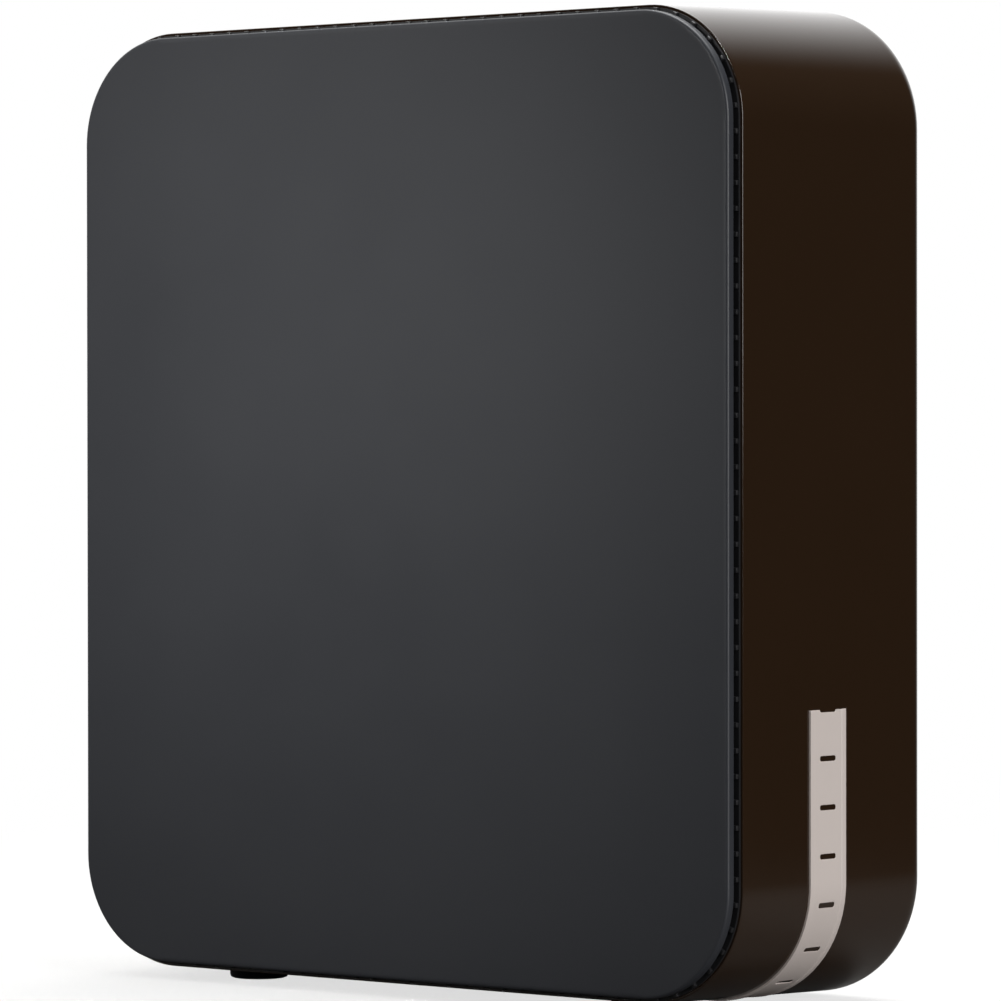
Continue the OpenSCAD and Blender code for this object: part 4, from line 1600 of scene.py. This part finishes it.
@dataclass
class CoaxPort:
    """Threaded coaxial connector on the back."""

    crest: float = 4.7
    shank: float = 5.2
    pitch: float = 0.8
    thread: float = 0.3
    gap: float = 0.05
    steps: int = 40
    tip_round: float = 0.35
    chamfer: float = 0.15
    lip: float = 0.2
    bite: float = 0.05
    contact_r: float = 0.95
    tail_r: float = 2.0
    tail: float = 4.0
    run_in: float = 0.3

    def build(self) -> bpy.types.Object:
        """Models the connector's body with its thread.

        Returns:
            The piece.
        """
        low, high = box_mm("coax_connector")
        nut_end = box_mm("coax_nut")[1].y
        hole_low, hole_high = box_mm("coax_insulator")
        centre = Vector(((low.x + high.x) / 2, 0.0, (low.z + high.z) / 2))
        flange_r = (high.z - low.z) / 2
        root = self.crest - self.thread
        bore = (hole_high.z - hole_low.z) / 2 + self.gap
        y_flange, y_tail = low.y + self.tail, low.y
        y_seat, tip = hole_low.y, high.y
        body = [
            (self.contact_r, y_tail),
            (self.tail_r, y_tail),
            (self.tail_r, y_flange),
            (flange_r, y_flange),
            (flange_r, y_seat),
            (self.shank, y_seat),
            (self.shank, nut_end - self.chamfer),
            (self.shank - self.chamfer, nut_end),
            (root, nut_end),
            (root, tip - self.tip_round),
            (root - self.tip_round, tip),
            (bore + self.lip, tip),
            (bore, tip - self.lip),
            (bore, y_seat),
            (self.contact_r, y_seat),
            (self.contact_r, y_tail),
        ]
        shape = Shape()
        shape.turn(body, centre, steps=self.steps)
        end = tip - self.tip_round - self.lip
        self._thread(shape, centre, root, nut_end + self.run_in, end)
        return add_piece(shape.mesh("coax_body"), "coax_body", "nickel_plate", ["coax_connector"])

    def _thread(
        self, shape: Shape, centre: Vector, root: float, start: float, end: float
    ) -> None:
        """Winds the thread's ridge round the body.

        Args:
            shape: The connector.
            centre: A point on its axis.
            root: Radius of the thread's root.
            start: Where it starts along the axis.
            end: Where it ends.
        """
        turns = (end - start - self.pitch) / self.pitch
        ridge = [
            (root - self.bite, 0.0),
            (root - self.bite, self.pitch * 0.9),
            (self.crest, self.pitch * 0.55),
            (self.crest, self.pitch * 0.35),
        ]
        verts = [shape.bm.verts.new(centre + Vector((r, start + y, 0.0))) for r, y in ridge]
        edges = [shape.bm.edges.new(pair) for pair in zip(verts, verts[1:] + verts[:1])]
        count = round(self.steps * turns)
        made = bmesh.ops.spin(
            shape.bm,
            geom=[*verts, *edges],
            cent=centre,
            axis=(0.0, 1.0, 0.0),
            dvec=(0.0, self.pitch / self.steps, 0.0),
            angle=math.tau * turns,
            steps=count,
        )
        shape.cap(edges)
        shape.cap([e for e in made["geom_last"] if isinstance(e, bmesh.types.BMEdge)])


def refined_parts() -> None:
    """Rounds the edges of the smaller parts that show on the back."""
    for node, name, slot, radius, body in (
        ("rear_cover", "rear_panel", "rear_plastic", 0.3, CASING),
        ("rating_label", "label", "label_foil", 0.08, CASING),
        ("coax_nut", "panel_nut", "nickel_plate", 0.18, CASING),
        ("coax_washer", "panel_washer", "nickel_plate", 0.12, CASING),
        ("coax_insulator", "insulator", "white_ptfe", 0.1, CASING),
        ("power_jack", "jack_body", "black_plastic", 0.25, CASING),
        ("switch_frame", "switch_bezel", "black_plastic", 0.22, CASING),
        ("power_rocker", "rocker_cap", "rocker_plastic", 0.22, ROCKER),
        ("cover_screws", "rear_screws", "black_steel", 0.16, CASING),
        ("heat_sink", "fin_block", "black_anodised", 0.12, CASING),
    ):
        refine(node, name, slot, radius, body=body)


def dress_frame() -> None:
    """Gives every frame node the finish of its slot."""
    slots = {row["node"]: row["material_slot"] for row in frame["record"]["subparts"]}
    for node, piece in frame["nodes"].items():
        piece.data.materials.clear()
        piece.data.materials.append(FINISHES[slots[node]].material())


# ------------------------------------------------------------------ studio


@dataclass(frozen=True)
class Card:
    """A soft bright area of the surroundings, about one direction."""

    heading: tuple[float, float, float]
    inner: float
    outer: float
    strength: float

    def glow(self, tree: bpy.types.NodeTree, space: bpy.types.NodeSocket) -> bpy.types.NodeSocket:
        """Works out the card's brightness in every direction.

        Args:
            tree: The node tree.
            space: The direction that is looked in.

        Returns:
            The brightness: full within the inner angle and nothing past the outer one.
        """
        heading = tuple(Vector(self.heading).normalized())
        along = put(
            tree, "ShaderNodeVectorMath", {0: space, 1: heading}, operation="DOT_PRODUCT"
        ).outputs["Value"]
        return put(
            tree,
            "ShaderNodeMapRange",
            {
                "Value": along,
                "From Min": math.cos(math.radians(self.outer)),
                "From Max": math.cos(math.radians(self.inner)),
                "To Min": 0.0,
                "To Max": self.strength,
            },
            interpolation_type="SMOOTHSTEP",
        ).outputs["Result"]


@dataclass(frozen=True)
class Lamp:
    """A square soft light: where it hangs, where it points, its size, power and spread."""

    name: str
    spot: tuple[float, float, float]
    aim: tuple[float, float, float]
    size: float
    power: float
    spread: float

    def hang(self) -> None:
        """Adds the light to the scene."""
        data = bpy.data.lights.new(self.name, "AREA")
        data.size = self.size
        data.energy = self.power
        data.spread = math.radians(self.spread)
        light = bpy.data.objects.new(self.name, data)
        light.location = self.spot
        light.rotation_mode = "QUATERNION"
        away = Vector(self.spot) - Vector(self.aim)
        light.rotation_quaternion = away.to_track_quat("Z", "Y")
        bpy.context.scene.collection.objects.link(light)


@dataclass
class Studio:
    """Pale floor, soft lights, surroundings and camera."""

    azimuth: float = 39.44
    elevation: float = 0.717
    roll: float = -0.062
    distance: float = 1159.6
    lens: float = 206.45
    aim: tuple[float, float, float] = (0.0, -0.9, 98.25)
    right: float = 2.82
    up: float = 0.1
    floor_radius: float = 520.0
    floor_solid: float = 100.0
    floor_tone: str = "565452"
    floor_seen_tone: str = "f4f3f1"
    floor_seen: float = 0.3
    cards: tuple[Card, ...] = (
        Card((0.0, 0.0, 1.0), 0.0, 180.0, 0.05),
        Card((-0.75, 0.45, 0.45), 15.0, 72.0, 1.3),
        Card((0.0, 0.0, -1.0), 50.0, 88.0, 0.05),
    )
    lamps: tuple[Lamp, ...] = (
        Lamp("top_light", (0.0, 0.25, 1.2), (0.0, 0.0, 0.0), 1.0, 16.0, 180.0),
        Lamp("front_light", (-0.45, -1.3, 0.5), (-0.045, -0.03, 0.122), 0.14, 0.085, 13.5),
        Lamp("right_light", (1.6, -0.35, 0.5), (0.0, 0.0, 0.1), 0.8, 19.5, 180.0),
    )

    def camera(self) -> None:
        """Sets the camera up level with the casing's middle, to the right of its front."""
        angle, rise = math.radians(self.azimuth), math.radians(self.elevation)
        back = Vector(
            (
                math.sin(angle) * math.cos(rise),
                -math.cos(angle) * math.cos(rise),
                math.sin(rise),
            )
        )
        side = Vector((math.cos(angle), math.sin(angle), 0.0))
        top = side.cross(-back).normalized()
        data = bpy.data.cameras.new("camera")
        data.sensor_width = 36.0
        data.lens = self.lens
        data.clip_start, data.clip_end = 0.05, 20.0
        camera = bpy.data.objects.new("camera", data)
        spot = Vector(self.aim) + back * self.distance + side * self.right + top * self.up
        turn = Matrix((side, top, back)).transposed().to_4x4()
        tilt = Matrix.Rotation(math.radians(self.roll), 4, "Z")
        camera.matrix_world = Matrix.Translation(spot * MM) @ turn @ tilt
        bpy.context.scene.collection.objects.link(camera)
        bpy.context.scene.camera = camera

    def floor(self) -> None:
        """Lays a faint pale floor that fades out, and that looks darker in reflections."""
        shape = Shape()
        bmesh.ops.create_circle(
            shape.bm, cap_ends=True, radius=self.floor_radius, segments=96
        )
        mesh = shape.mesh("floor", turn_out=False)
        floor = bpy.data.objects.new("floor", mesh)
        bpy.context.scene.collection.objects.link(floor)
        material = bpy.data.materials.new("pale_floor")
        material.use_nodes = True
        tree = material.node_tree
        tree.nodes.clear()
        space = put(tree, "ShaderNodeTexCoord").outputs["Object"]
        reach = put(tree, "ShaderNodeVectorMath", {0: space}, operation="LENGTH")
        fade = put(
            tree,
            "ShaderNodeMapRange",
            {
                "Value": reach.outputs["Value"],
                "From Min": self.floor_solid * MM,
                "From Max": self.floor_radius * MM * 0.95,
                "To Min": 1.0,
                "To Max": 0.0,
            },
            interpolation_type="SMOOTHSTEP",
        )
        seen = put(tree, "ShaderNodeLightPath").outputs["Is Camera Ray"]
        tone = put(
            tree,
            "ShaderNodeMix",
            {0: seen, 6: linear(self.floor_tone), 7: linear(self.floor_seen_tone)},
            data_type="RGBA",
        )
        share = put(
            tree,
            "ShaderNodeMath",
            {0: seen, 1: self.floor_seen - 1.0, 2: 1.0},
            operation="MULTIPLY_ADD",
        )
        alpha = put(
            tree,
            "ShaderNodeMath",
            {0: fade.outputs["Result"], 1: share.outputs[0]},
            operation="MULTIPLY",
        )
        shader = put(
            tree,
            "ShaderNodeBsdfPrincipled",
            {
                "Base Color": tone.outputs[2],
                "Roughness": 0.8,
                "Alpha": alpha.outputs[0],
            },
        )
        put(tree, "ShaderNodeOutputMaterial", {"Surface": shader.outputs["BSDF"]})
        mesh.materials.append(material)

    def surroundings(self) -> None:
        """Makes surroundings that look white, and that the casing sees as a dim studio."""
        world = bpy.data.worlds.new("studio")
        bpy.context.scene.world = world
        world.use_nodes = True
        tree = world.node_tree
        tree.nodes.clear()
        space = put(tree, "ShaderNodeTexCoord").outputs["Generated"]
        total = None
        for card in self.cards:
            glow = card.glow(tree, space)
            if total is None:
                total = glow
                continue
            total = put(tree, "ShaderNodeMath", {0: total, 1: glow}, operation="ADD").outputs[0]
        seen = put(tree, "ShaderNodeLightPath").outputs["Is Camera Ray"]
        studio = put(
            tree, "ShaderNodeBackground", {"Color": linear("ffffff"), "Strength": total}
        )
        white = put(
            tree, "ShaderNodeBackground", {"Color": linear("ffffff"), "Strength": 1.0}
        )
        both = put(
            tree,
            "ShaderNodeMixShader",
            {0: seen, 1: studio.outputs[0], 2: white.outputs[0]},
        )
        put(tree, "ShaderNodeOutputWorld", {"Surface": both.outputs[0]})
        bpy.context.scene.view_settings.view_transform = "Standard"


def main() -> None:
    """Builds the booster and its studio."""
    logging.basicConfig(level=logging.INFO, format="%(message)s")
    studio = Studio()
    studio.camera()
    dress_frame()
    casing = Casing.from_frame()
    band = BaseBand(casing)
    for part in (FrontCover(casing), VentRing(casing), Housing(casing, band), band, Feet()):
        part.build()
    CoaxPort().build()
    refined_parts()
    studio.floor()
    for lamp in studio.lamps:
        lamp.hang()
    studio.surroundings()


if __name__ == "__main__":
    main()
